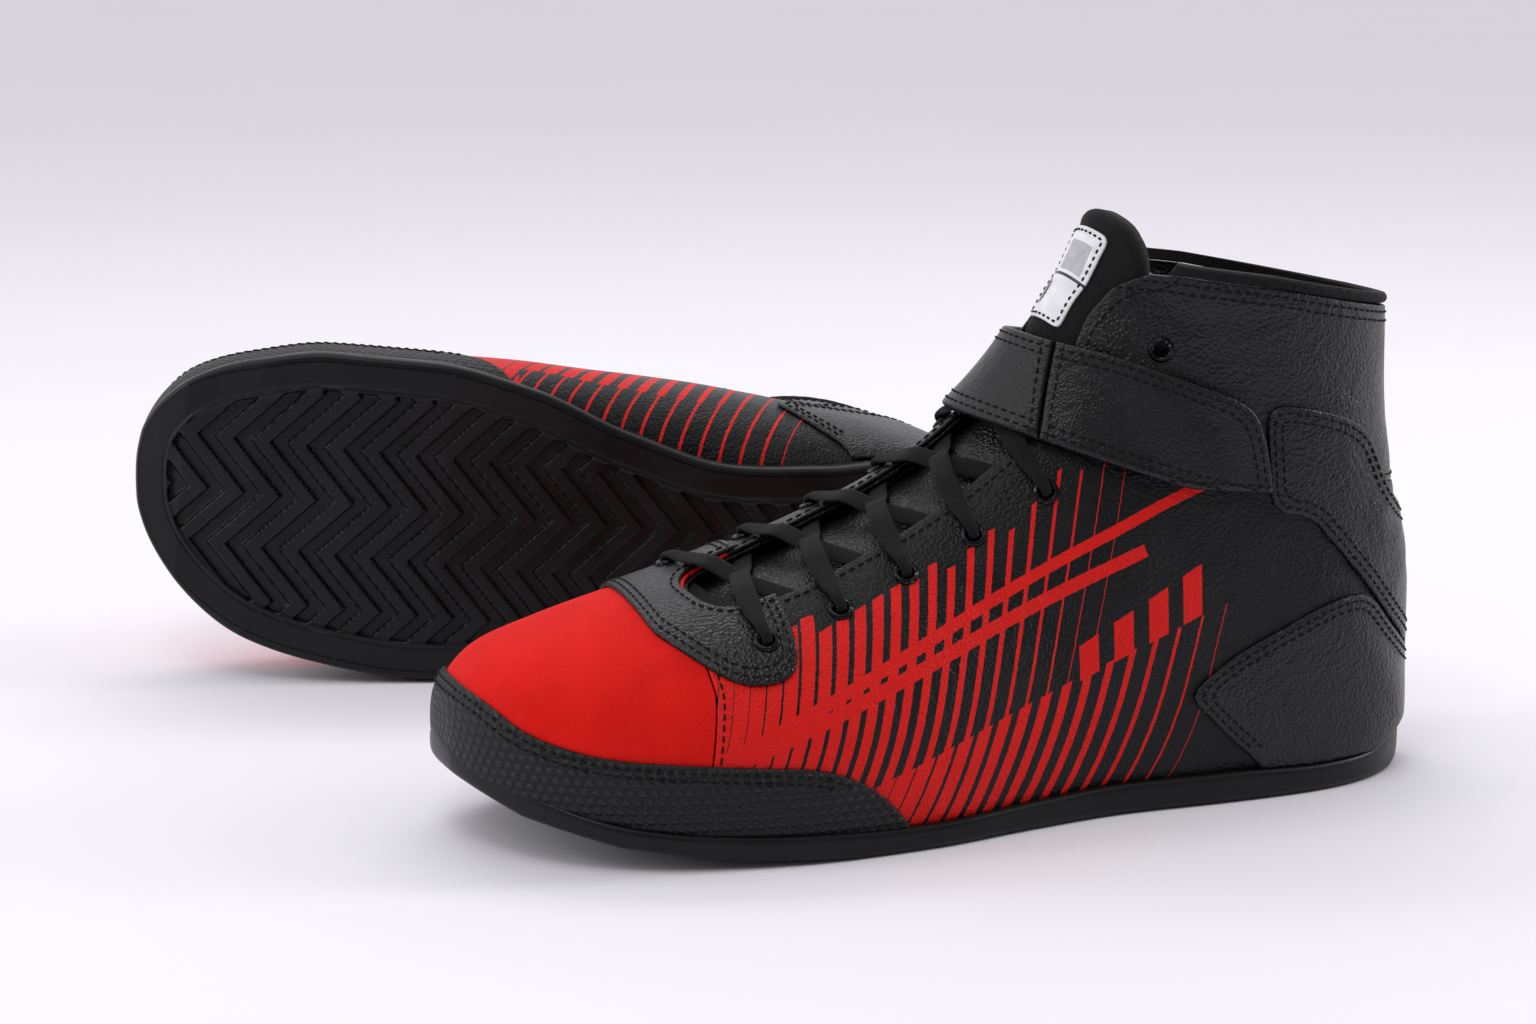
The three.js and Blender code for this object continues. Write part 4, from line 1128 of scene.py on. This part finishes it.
for side_name, sign in SIGN.items():
    quarter = layer(UPPER, [behind_seam, under_seam, outside_slot, on_side(sign), clear_of_holes],
                    edge=0.5, near=np.array([120, 30 * sign, 50]))
    look = LATERAL_PRINT if sign > 0 else MEDIAL_PRINT
    from_slot = -in_slot(quarter[0][0]) / UV_SIZE
    add(f"quarter_{side_name}", quarter[0], look,
        uvs={"slot": np.stack([from_slot, from_slot], 1)})
    sew(quarter, ["f2"], [2.2], lambda p: p[0] < 240 and p[0] + p[2] > 190)
    sew(quarter, ["f0"], [1.9], lambda p: p[2] > 12)
    shaft = layer(UPPER, [over_seam, outside_slot, under_binding, on_side(sign), clear_of_holes],
                  edge=0.5, near=np.array([60, 20 * sign, 125]))
    add(f"shaft_{side_name}", shaft[0], LEATHER)
    sew(shaft, ["f0"], [1.9])
    sew(shaft, ["f1"], [2.2])
    sew(shaft, ["f2"], [2.0, 4.6])
    panel = layer(OVERLAY, [inside_of(HEEL_PANEL), lambda p: above_rim(p, -3.0), clear_of_strip,
                            on_side(sign)], edge=0.85, near=np.array([20, 30 * sign, 40]))
    add(f"heel_panel_{side_name}", panel[0], LEATHER)
    sew(panel, ["f0"], [2.0, 4.3], lambda p: p[2] > 15)
    if sign > 0:
        band_outline = inside_of(ANKLE_BAND)
    else:
        band_outline = lambda p: np.maximum(in_outline(p, ANKLE_BAND), in_outline(p, STRAP_ANCHOR, 3))
    band = layer(OVERLAY, [band_outline, clear_of_strip, on_side(sign)], edge=0.85,
                 near=np.array([30, 30 * sign, 90]))
    add(f"ankle_band_{side_name}", band[0], LEATHER)
    sew(band, ["f0"], [2.0, 4.4])

rib = layer(RIB, [inside_of(STRAP_OUTLINE, 4), lambda p: in_outline(p, ANCHOR_RIB, 3) - 1.0,
                  on_side(-1)], edge=1.2, near=np.array([98, -35, 110]))
add("strap_anchor", rib[0], STRAP_LEATHER, replaces=())
sew(rib, ["f1"], [2.0])

toe_guard = layer(OVERLAY, [inside_of(TOE_GUARD), lambda p: above_rim(p, -3.6)], edge=0.85)
add("toe_guard", toe_guard[0], EMBOSSED)
sew(toe_guard, ["f0"], [2.0, 4.2], lambda p: p[2] > 20)
throat_overlay = layer(OVERLAY, [inside_of(THROAT_OVERLAY), outside_slot, clear_of_holes], edge=0.8)
add("throat_overlay", throat_overlay[0], LEATHER)
sew(throat_overlay, ["f0"], [1.9, 4.0])
sew(throat_overlay, ["f1"], [2.2])
heel_strip = layer(STRIP, [
    lambda p: np.where(p[:, 0] < 30, HEEL_STRIP_WIDTH / 2 - np.abs(p[:, 1]), -30),
    lambda p: above_rim(p, -3.0), lambda p: HEEL_STRIP_TOP - p[:, 2]], edge=1.2)
add("heel_strip", heel_strip[0], RUBBER)

# ---- Inside the boot ------------------------------------------------------------------------------
lining = layer(LINING, [lambda p: -in_slot(p, FACING_WIDTH + 0.3, 4), under_binding], edge=0.5)
add("lining", lining[0], LINING_LOOK)
for side_name, sign in SIGN.items():
    facing = layer(FACING, [lambda p: in_slot(p, FACING_WIDTH, 3), outside_slot, under_binding,
                            on_side(sign), clear_of_holes], edge=0.5, near=np.array([150, 20 * sign, 110]))
    add(f"facing_{side_name}", facing[0], LEATHER, replaces=())
binding = layer(BINDING, [below_collar, lambda p: -below_collar(p, 3.4), outside_slot], edge=1.7)
add("collar_binding", binding[0], KNIT)


def strip_in_throat(low, high, half_low, half_high):
    return rounded([(low, -half_low), (high, -half_high), (high, half_high), (low, half_low)], 7)


def tongue_flat(p):
    view = throat_view(p)
    return np.minimum(in_slot(p, 8, 9), 45 - view[:, 0])


def tongue_thick(p):
    outline = strip_in_throat(-30, 51, 19, 17)
    return np.minimum(in_slot(p, -1.2, 0), inside_distance(throat_view(p), outline))


flat_tongue = layer(FLAT_TONGUE, [tongue_flat], edge=1.2)
tongue_top = layer(TONGUE_TOP, [lambda p: np.minimum(tongue_thick(p), throat_view(p)[:, 0] - 10)], edge=3.2)
add("tongue", flat_tongue[0], GLOSSY)
add("tongue_top", tongue_top[0], KNIT, replaces=())

LABEL_OUTLINE = rounded([(15, -8), (44, -10.5), (44, 11), (15, 9)], 2)
label = layer(TONGUE_LABEL, [lambda p: inside_distance(throat_view(p), LABEL_OUTLINE)], edge=0.3)
add("tongue_label", label[0], LABEL,
    uvs={"throat": throat_view(label[0][0]) / UV_SIZE})
sew(label, ["f0"], [1.2], length=1.5)

# ---- Strap ----------------------------------------------------------------------------------------
def before(line, corners, half=0.25):
    return lambda p: inside_distance(side_view(p), np.array(list(line) + corners, float)) - half


ahead_of_tail = before(TAIL_HINGE, [(300, 90), (300, 170)])
behind_tail = before(TAIL_HINGE, [(-60, 80), (-60, 170)])
ahead_of_anchor = before(ANCHOR_HINGE, [(300, 80), (300, 170)], 0.95)
strap_outline = inside_of(STRAP_OUTLINE, 9)
strap = layer(STRAP, [
    strap_outline, lambda p: np.where(p[:, 1] > -5, ahead_of_tail(p), ahead_of_anchor(p)),
], edge=1.0, near=np.array([135, -5, 125]))
add("strap", strap[0], STRAP_LEATHER, body="strap")
sew(strap, ["f0"], [2.0, 4.4], body="strap")
tail = layer(STRAP, [strap_outline, behind_tail, lambda p: p[:, 1] + 5], edge=1.0)
add("strap_tail", tail[0], STRAP_LEATHER, body="strap_tail")
sew(tail, ["f0"], [2.0, 4.4], body="strap_tail")
sew(strap, ["f1"], [2.0], body="strap")
sew(tail, ["f1"], [2.0], body="strap_tail")
hooks = layer(HOOKS, [inside_of(HOOK_PATCH, 3), lambda p: p[:, 1] + 5], edge=0.3)
add("hook_patch", hooks[0], TAPE_LOOK, body="strap_tail")
loops = layer(LOOPS, [inside_of(LOOP_PATCH, 3), lambda p: p[:, 1] + 5], edge=0.3)
add("loop_patch", loops[0], TAPE_LOOK)


# ---- Eyelets --------------------------------------------------------------------------------------
def lathe(point, normal, profile, turns=28):
    across = np.cross(normal, [0, 1, 0.3])
    across /= np.linalg.norm(across)
    other = np.cross(normal, across)
    points = []
    for radius, height in profile:
        for k in range(turns):
            angle = 2 * math.pi * k / turns
            out = across * math.cos(angle) + other * math.sin(angle)
            points.append(point + normal * height + radius * out)
    faces = []
    count = len(profile)
    for level in range(count):
        following = (level + 1) % count
        for k in range(turns):
            i, j = level * turns + k, level * turns + (k + 1) % turns
            i2, j2 = following * turns + k, following * turns + (k + 1) % turns
            faces += [(i, j, j2), (i, j2, i2)]
    return np.array(points), np.array(faces)


def joined(parts):
    points, faces, start = [], [], 0
    for p, f in parts:
        points.append(np.asarray(p))
        faces.append(np.asarray(f) + start)
        start += len(p)
    return np.vstack(points), np.vstack(faces)


for side_name in ("lateral", "medial"):
    rings = []
    for i, (point, normal) in enumerate(EYES[side_name]):
        base = 0.05 + (1.5 if i == 0 else 0)
        profile = [
            (2.2, -2.6), (2.2, base + 0.45), (2.35, base + 0.75), (2.7, base + 0.95),
            (3.2, base + 0.9), (3.65, base + 0.55), (3.85, base + 0.1), (3.8, base - 0.1),
            (2.75, base - 0.1), (2.75, -2.6),
        ]
        rings.append(lathe(point, normal, profile[::-1]))
    add(f"eyelet_rings_{side_name}", joined(rings), ENAMEL,
        replaces=[f"eyelets_{side_name}"], sharp=60)

# ---- Laces ----------------------------------------------------------------------------------------
LACE_WIDTH, LACE_THICKNESS, LACE_BUNCHED, AGLET_LENGTH = 6.4, 1.3, 3.0, 9
OVER = LACE_THICKNESS / 2 + 0.6
OVER_FLANGE = 0.7 + 0.5 + 1.3
UNDER = -2.6 - 0.3 - LACE_THICKNESS / 2 - 0.15
LACE_END, LACE_END_SIDE, SLOT_MIDDLE = -2, 4, 4
TIGHTNESS = 0.8  # of the lace's curves between its stations


def over_throat(s, y, distance, width=LACE_WIDTH, thickness=LACE_THICKNESS):
    point, normal = under_throat(s, y)
    return (point + normal * distance, normal, width, thickness)


def throat_place(point):
    return point @ THROAT_UP, point[1]


def through_eyelet(eye, towards, height):
    top = height + OVER_FLANGE
    return [(eye[0] + eye[1] * at, -towards, width, thickness)
            for at, width, thickness in ((UNDER + 0.3, LACE_BUNCHED, 1.5), (top - 0.9, LACE_BUNCHED, 1.7))]


def crossing(start, end, lift, height):
    s0, y0 = throat_place(start[0])
    s1, y1 = throat_place(end[0])
    top = height + OVER_FLANGE
    steps = [
        (0.05, top, 3.6, 1.7), (0.13, height + OVER + 0.4, 5.4, 1.5), (0.21, height + OVER + 0.1, 6.4, 1.3),
        (0.33, height * 0.5 + OVER + 0.2, 6.4, 1.3), (0.5, (OVER + UNDER) / 2 + lift, 6.4, 1.3),
        (0.66, UNDER, 6.4, 1.3), (0.8, UNDER - 0.1, 5.6, 1.3), (0.94, UNDER - 0.2, 3.8, 1.4),
    ]
    return [over_throat(s0 + (s1 - s0) * k, y0 + (y1 - y0) * k, at, width, thickness)
            for k, at, width, thickness in steps]


def strand(sign):
    names = ("lateral", "medial") if sign > 0 else ("medial", "lateral")
    stations = []
    for i in range(LACED):
        here = EYES[names[i % 2]][i]
        height = 1.5 if i == 0 else 0
        inward = np.array([0, -1.0 if here[0][1] > SLOT_MIDDLE else 1.0, 0])
        inward -= here[1] * (inward @ here[1])
        stations += through_eyelet(here, inward / np.linalg.norm(inward), height)
        if i + 1 < LACED:
            stations += crossing(here, EYES[names[(i + 1) % 2]][i + 1], (-1 if i % 2 else 1) * sign, height)
    s, y = throat_place(EYES[names[(LACED - 1) % 2]][LACED - 1][0])
    end_y = SLOT_MIDDLE + math.copysign(LACE_END_SIDE, y)
    for share, at, width, thickness in ((0.12, OVER_FLANGE, 3.6, 1.8), (0.3, OVER + 0.4, 5.4, 1.5),
                                        (0.55, OVER + 0.1, 6.4, 1.3), (1, UNDER + 1.6, 6.4, 1.3)):
        stations.append(over_throat(s + (LACE_END - 12 - s) * share, y + (end_y - y) * share,
                                    at, width, thickness))
    stations.append(over_throat(LACE_END, end_y, UNDER + 0.6, 4, 1.4))
    return stations


def lace_stations():
    s0, y0 = throat_place(EYES["lateral"][0][0])
    s1, y1 = throat_place(EYES["medial"][0][0])
    under = [over_throat(s0 + (s1 - s0) * k, y0 + (y1 - y0) * k, UNDER - 0.05, w)
             for k, w in ((0.06, 3.8), (0.3, 6.4), (0.5, 6.4), (0.7, 6.4), (0.94, 3.8))]
    return strand(1)[::-1] + under + strand(-1)


def ribbon(stations, between=7, around=14):
    """A flat cord through stations; returns its points, faces and its own UV."""
    p = np.array([q[0] for q in stations])
    rest = np.array([[*q[1], q[2], q[3]] for q in stations])
    steps = np.maximum(np.linalg.norm(np.diff(p, axis=0), axis=1), 0.05) ** 0.5
    t = np.concatenate([[0], np.cumsum(steps)])
    tangent = np.gradient(p, t, axis=0) * TIGHTNESS
    line, more = [], []
    for k in range(len(p) - 1):
        for u in np.arange(between) / between:
            line.append(cubic(u, t[k + 1] - t[k], p[k], p[k + 1], tangent[k], tangent[k + 1]))
            w = u * u * (3 - 2 * u)
            more.append(rest[k] * (1 - w) + rest[k + 1] * w)
    line, more = np.array(line + [p[-1]]), np.array(more + [rest[-1]])
    along = np.gradient(line, axis=0)
    along /= np.maximum(np.linalg.norm(along, axis=1)[:, None], 1e-9)
    across = np.cross(along, more[:, :3])
    across /= np.maximum(np.linalg.norm(across, axis=1)[:, None], 1e-9)
    for k in range(1, len(across)):
        if across[k] @ across[k - 1] < 0:
            across[k:] *= -1
    for _ in range(4):
        across[1:-1] = across[:-2] + across[1:-1] * 2 + across[2:]
        across /= np.linalg.norm(across, axis=1)[:, None]
    up = np.cross(across, along)
    length = lengths_along(line)
    points, uv = [], []
    for k in range(len(line)):
        for j in range(around):
            a = 2 * math.pi * (j + 0.5) / around
            c, s = math.cos(a), math.sin(a)
            wide = math.copysign(abs(c) ** 0.7, c)
            tall = math.copysign(abs(s) ** 0.8, s)
            points.append(line[k] + across[k] * wide * more[k, 3] / 2 + up[k] * tall * more[k, 4] / 2)
            uv.append((length[k] / UV_SIZE, wide * LACE_WIDTH / 2 / UV_SIZE))
    faces = []
    for k in range(len(line) - 1):
        for j in range(around):
            i, q = k * around + j, k * around + (j + 1) % around
            faces += [(i, q + around, q), (i, i + around, q + around)]
    end = (len(line) - 1) * around
    for j in range(1, around - 1):
        faces += [(0, j, j + 1), (end, end + j + 1, end + j)]
    faces = np.array(faces)
    made = np.array(points)
    volume = np.einsum("ij,ij->i", made[faces[:, 0]], np.cross(made[faces[:, 1]], made[faces[:, 2]])).sum()
    return made, faces if volume > 0 else faces[:, ::-1], np.array(uv)


lace = ribbon(lace_stations())
add("lace", lace[:2], LACE_WEAVE, uvs={"ribbon": lace[2]})
for side_name, sign in SIGN.items():
    y = SLOT_MIDDLE + sign * LACE_END_SIDE
    tip = ribbon([over_throat(LACE_END + 0.3 + k * AGLET_LENGTH, y, UNDER + 0.6, 2.6, 2.0)
                  for k in (0, 0.5, 1)])
    add(f"aglet_{side_name}", tip[:2], AGLET)

# ---- Outsole --------------------------------------------------------------------------------------
TREAD = np.array([(-6, 3), (10, 0), (200, 0), (232, 2), (264, 7), (288, 14), (308, 25)], float)
foot_rows = [row for row in smooth_rows(LAST, 24) if row[4] > 0.01]
start_v = np.array([0.0])


def foot_line(sign):
    return np.array([section(row, sign, start_v)[0] for row in foot_rows])


toe_end = section(smooth_rows(LAST, 24)[0], 1, start_v)[0]
foot_loop = np.vstack([toe_end, foot_line(1), [(-1, 0, 14)], foot_line(-1)[::-1]])


def step(value, low, high):
    t = np.clip((value - low) / (high - low), 0, 1)
    return t * t * (3 - 2 * t)


def grown(distance, height):
    """The foot loop grown outward, each point at a share of the way from the tread to the rim's top."""
    along = np.roll(foot_loop, -1, axis=0) - np.roll(foot_loop, 1, axis=0)
    along[:, 2] = 0
    along /= np.linalg.norm(along, axis=1)[:, None]
    reach = distance * (1 - 0.55 * step(foot_loop[:, 0], 262, 298) - 0.65 * step(-foot_loop[:, 0], -34, 2))
    made = foot_loop + np.stack([along[:, 1], -along[:, 0], 0 * along[:, 0]], 1) * reach[:, None]
    floor = np.interp(made[:, 0], TREAD[:, 0], TREAD[:, 1])
    lift = SOLE_TOP + 2.4 * step(foot_loop[:, 0], 258, 296) + 1.2 * step(-foot_loop[:, 0], -24, 0)
    made[:, 2] = floor + height * (foot_loop[:, 2] + lift - floor)
    return made


PROFILE = [
    (2.3, 0.0), (3.0, 0.04), (3.6, 0.12), (4.0, 0.26), (4.15, 0.48), (4.1, 0.70), (3.9, 0.88), (3.5, 0.97),
    (3.0, 1.0), (0.9, 1.0), (0.3, 0.8), (-3.0, 0.75),
]
TREAD_EDGE = 1.4
SOLE_TOP = 0.9  # of the visible rim above the upper's lower edge


def tread_relief(p, outline):
    """How far the underside is raised into the sole: a smooth rim, then zigzag ribs in a shallow field."""
    inward = inside_distance(p[:, :2], outline)
    field = step(inward, 9.6, 10.4)
    line = np.maximum(0, 1 - np.abs(inward - 8.4) / 0.5) * 0.35
    fold = np.abs((p[:, 1] + 38) / 18 % 2 - 1)
    phase = (p[:, 0] + 17 * fold) / 12.2 % 1
    rib = step(0.28 - np.abs(phase - 0.5), -0.03, 0.05)
    return line + field * (2.3 - 2.0 * rib)


def underside():
    edge = grown(TREAD_EDGE, 0.0)
    outline = edge[:, :2]
    count = len(foot_rows)
    lateral, medial = edge[1:count + 1], edge[count + 2:][::-1]
    steps = np.linspace(0, 1, 190)
    xs = lengths_along(lateral[:, :2])
    dense = np.linspace(0, xs[-1], 520)
    lat = np.stack([np.interp(dense, xs, lateral[:, k]) for k in range(3)], 1)
    med = np.stack([np.interp(dense, xs, medial[:, k]) for k in range(3)], 1)
    grid = lat[:, None] * (1 - steps[:, None]) + med[:, None] * steps[:, None]
    points = grid.reshape(-1, 3)
    points[:, 2] = np.interp(points[:, 0], TREAD[:, 0], TREAD[:, 1]) + tread_relief(points, outline)
    faces = grid_faces(len(dense), len(steps))
    if face_normals(points, faces)[:, 2].sum() > 0:
        faces = faces[:, ::-1]
    return points, faces


def sidewall():
    rings = [grown(TREAD_EDGE - 0.6, 0.0)] + [grown(d, h) for d, h in PROFILE]
    count = len(rings[0])
    faces = []
    for level in range(len(rings) - 1):
        i = level * count + np.arange(count)
        j = level * count + (np.arange(count) + 1) % count
        faces += [np.stack([i, j, j + count], 1), np.stack([i, j + count, i + count], 1)]
    points, faces = np.vstack(rings), np.vstack(faces)
    middle = points.mean(0)
    n = face_normals(points, faces)
    wall = (faces[:, 0] >= 4 * count) & (faces[:, 0] < 6 * count)
    if (n[wall, :2] * (points[faces[wall, 0], :2] - middle[:2])).sum() < 0:
        faces = faces[:, ::-1]
    return points, faces


def sole_inside():
    """The outsole's inner floor, just under the insole board."""
    edge = grown(-2.8, 0.75)
    count = len(foot_rows)
    lateral, medial = edge[1:count + 1], edge[count + 2:][::-1]
    points = np.vstack([lateral, medial])
    i = np.arange(count - 1)
    faces = np.vstack([np.stack([i, i + 1, i + 1 + count], 1), np.stack([i, i + 1 + count, i + count], 1)])
    return points, faces


add("outsole", joined([underside(), sidewall(), sole_inside()]), RUBBER, sharp=50)

# ---- Stitching, and the model's own hidden pieces ---------------------------------------------------
for body, rows in STITCHING.items():
    if rows:
        add(f"stitching_{body}", joined(rows), THREAD_LOOK, body=body, replaces=())

HIDDEN_LOOKS = {
    "insole_board": BOARD_LOOK, "footbed": FOAM, "heel_counter": BOARD_LOOK,
    "toe_puff": BOARD_LOOK,
}
for node_name, look in HIDDEN_LOOKS.items():
    for side in ("left", "right"):
        data = frame["nodes"][f"{side}_{node_name}"].data
        data.materials.clear()
        data.materials.append(look)

# ---- Floor, light and camera ------------------------------------------------------------------------
paper = Look("paper")
paper_noise = paper.noise(300, 2)
paper.set(color=paper.mix(paper_noise, (0.83, 0.815, 0.86), (0.85, 0.835, 0.88)), rough=0.9)


def stage_mesh(name, points, faces):
    mesh = bpy.data.meshes.new(name)
    mesh.from_pydata(points, [], faces)
    mesh.polygons.foreach_set("use_smooth", np.full(len(mesh.polygons), True))
    mesh.materials.append(paper.material)
    made = bpy.data.objects.new(name, mesh)
    bpy.context.scene.collection.objects.link(made)


floor = [(x, y, -0.0004) for y in (-6, 8) for x in (-8, 8)]
stage_mesh("floor", floor, [(0, 1, 3, 2)])


def area_light(name, at, target, size, power, colour=(1, 1, 1)):
    lamp = bpy.data.lights.new(name, "AREA")
    lamp.shape = "RECTANGLE"
    lamp.size, lamp.size_y = size
    lamp.energy = power
    lamp.color = colour
    made = bpy.data.objects.new(name, lamp)
    made.location = at
    made.rotation_euler = (Vector(target) - Vector(at)).to_track_quat("-Z", "Y").to_euler()
    bpy.context.scene.collection.objects.link(made)


area_light("key", (-0.6, -0.8, 1.5), (-0.05, 0.05, 0.05), (0.5, 0.3), 3)
area_light("top", (0.1, 0.9, 1.3), (0, 0.05, 0.05), (1.2, 0.3), 4)
area_light("side", (1.5, -0.2, 0.8), (0, 0, 0.1), (0.3, 0.8), 8)
area_light("left", (-1.5, 0.2, 0.7), (0, 0.05, 0.08), (0.3, 0.7), 5)
sun_light = bpy.data.lights.new("soft_sun", "SUN")
sun_light.energy = 0.64
sun_light.angle = math.radians(50)
sun = bpy.data.objects.new("soft_sun", sun_light)
sun.rotation_euler = Vector((0.45, 0.35, -1)).to_track_quat("-Z", "Y").to_euler()
bpy.context.scene.collection.objects.link(sun)

bpy.context.scene.view_settings.view_transform = "Standard"
world = bpy.data.worlds.new("studio")
world.use_nodes = True
sky = world.node_tree
sky_place = sky.nodes.new("ShaderNodeTexCoord")
sky_split = sky.nodes.new("ShaderNodeSeparateXYZ")
sky_range = sky.nodes.new("ShaderNodeMapRange")
sky.links.new(sky_place.outputs["Generated"], sky_split.inputs[0])
sky.links.new(sky_split.outputs[1], sky_range.inputs["Value"])
for socket_name, number in (("From Min", -0.7), ("From Max", 0.45), ("To Min", 0.24), ("To Max", 1.05)):
    sky_range.inputs[socket_name].default_value = number
sky.links.new(sky_range.outputs["Result"], sky.nodes["Background"].inputs["Strength"])
sky.nodes["Background"].inputs["Color"].default_value = (0.862, 0.845, 0.89, 1)
bpy.context.scene.world = world

CAMERA = {"azimuth": -18.98, "elevation": 11.38, "distance": 0.9894, "target": (-0.0554, 0, 0.0895)}
azimuth, elevation = math.radians(CAMERA["azimuth"]), math.radians(CAMERA["elevation"])
target = Vector(CAMERA["target"])
away = Vector((math.sin(azimuth) * math.cos(elevation), -math.cos(azimuth) * math.cos(elevation),
               math.sin(elevation)))
camera_data = bpy.data.cameras.new("camera")
camera_data.lens = 80
camera_data.sensor_width = 36
camera = bpy.data.objects.new("camera", camera_data)
camera.location = target + away * CAMERA["distance"]
camera.rotation_euler = (-away).to_track_quat("-Z", "Y").to_euler()
bpy.context.scene.collection.objects.link(camera)
bpy.context.scene.camera = camera
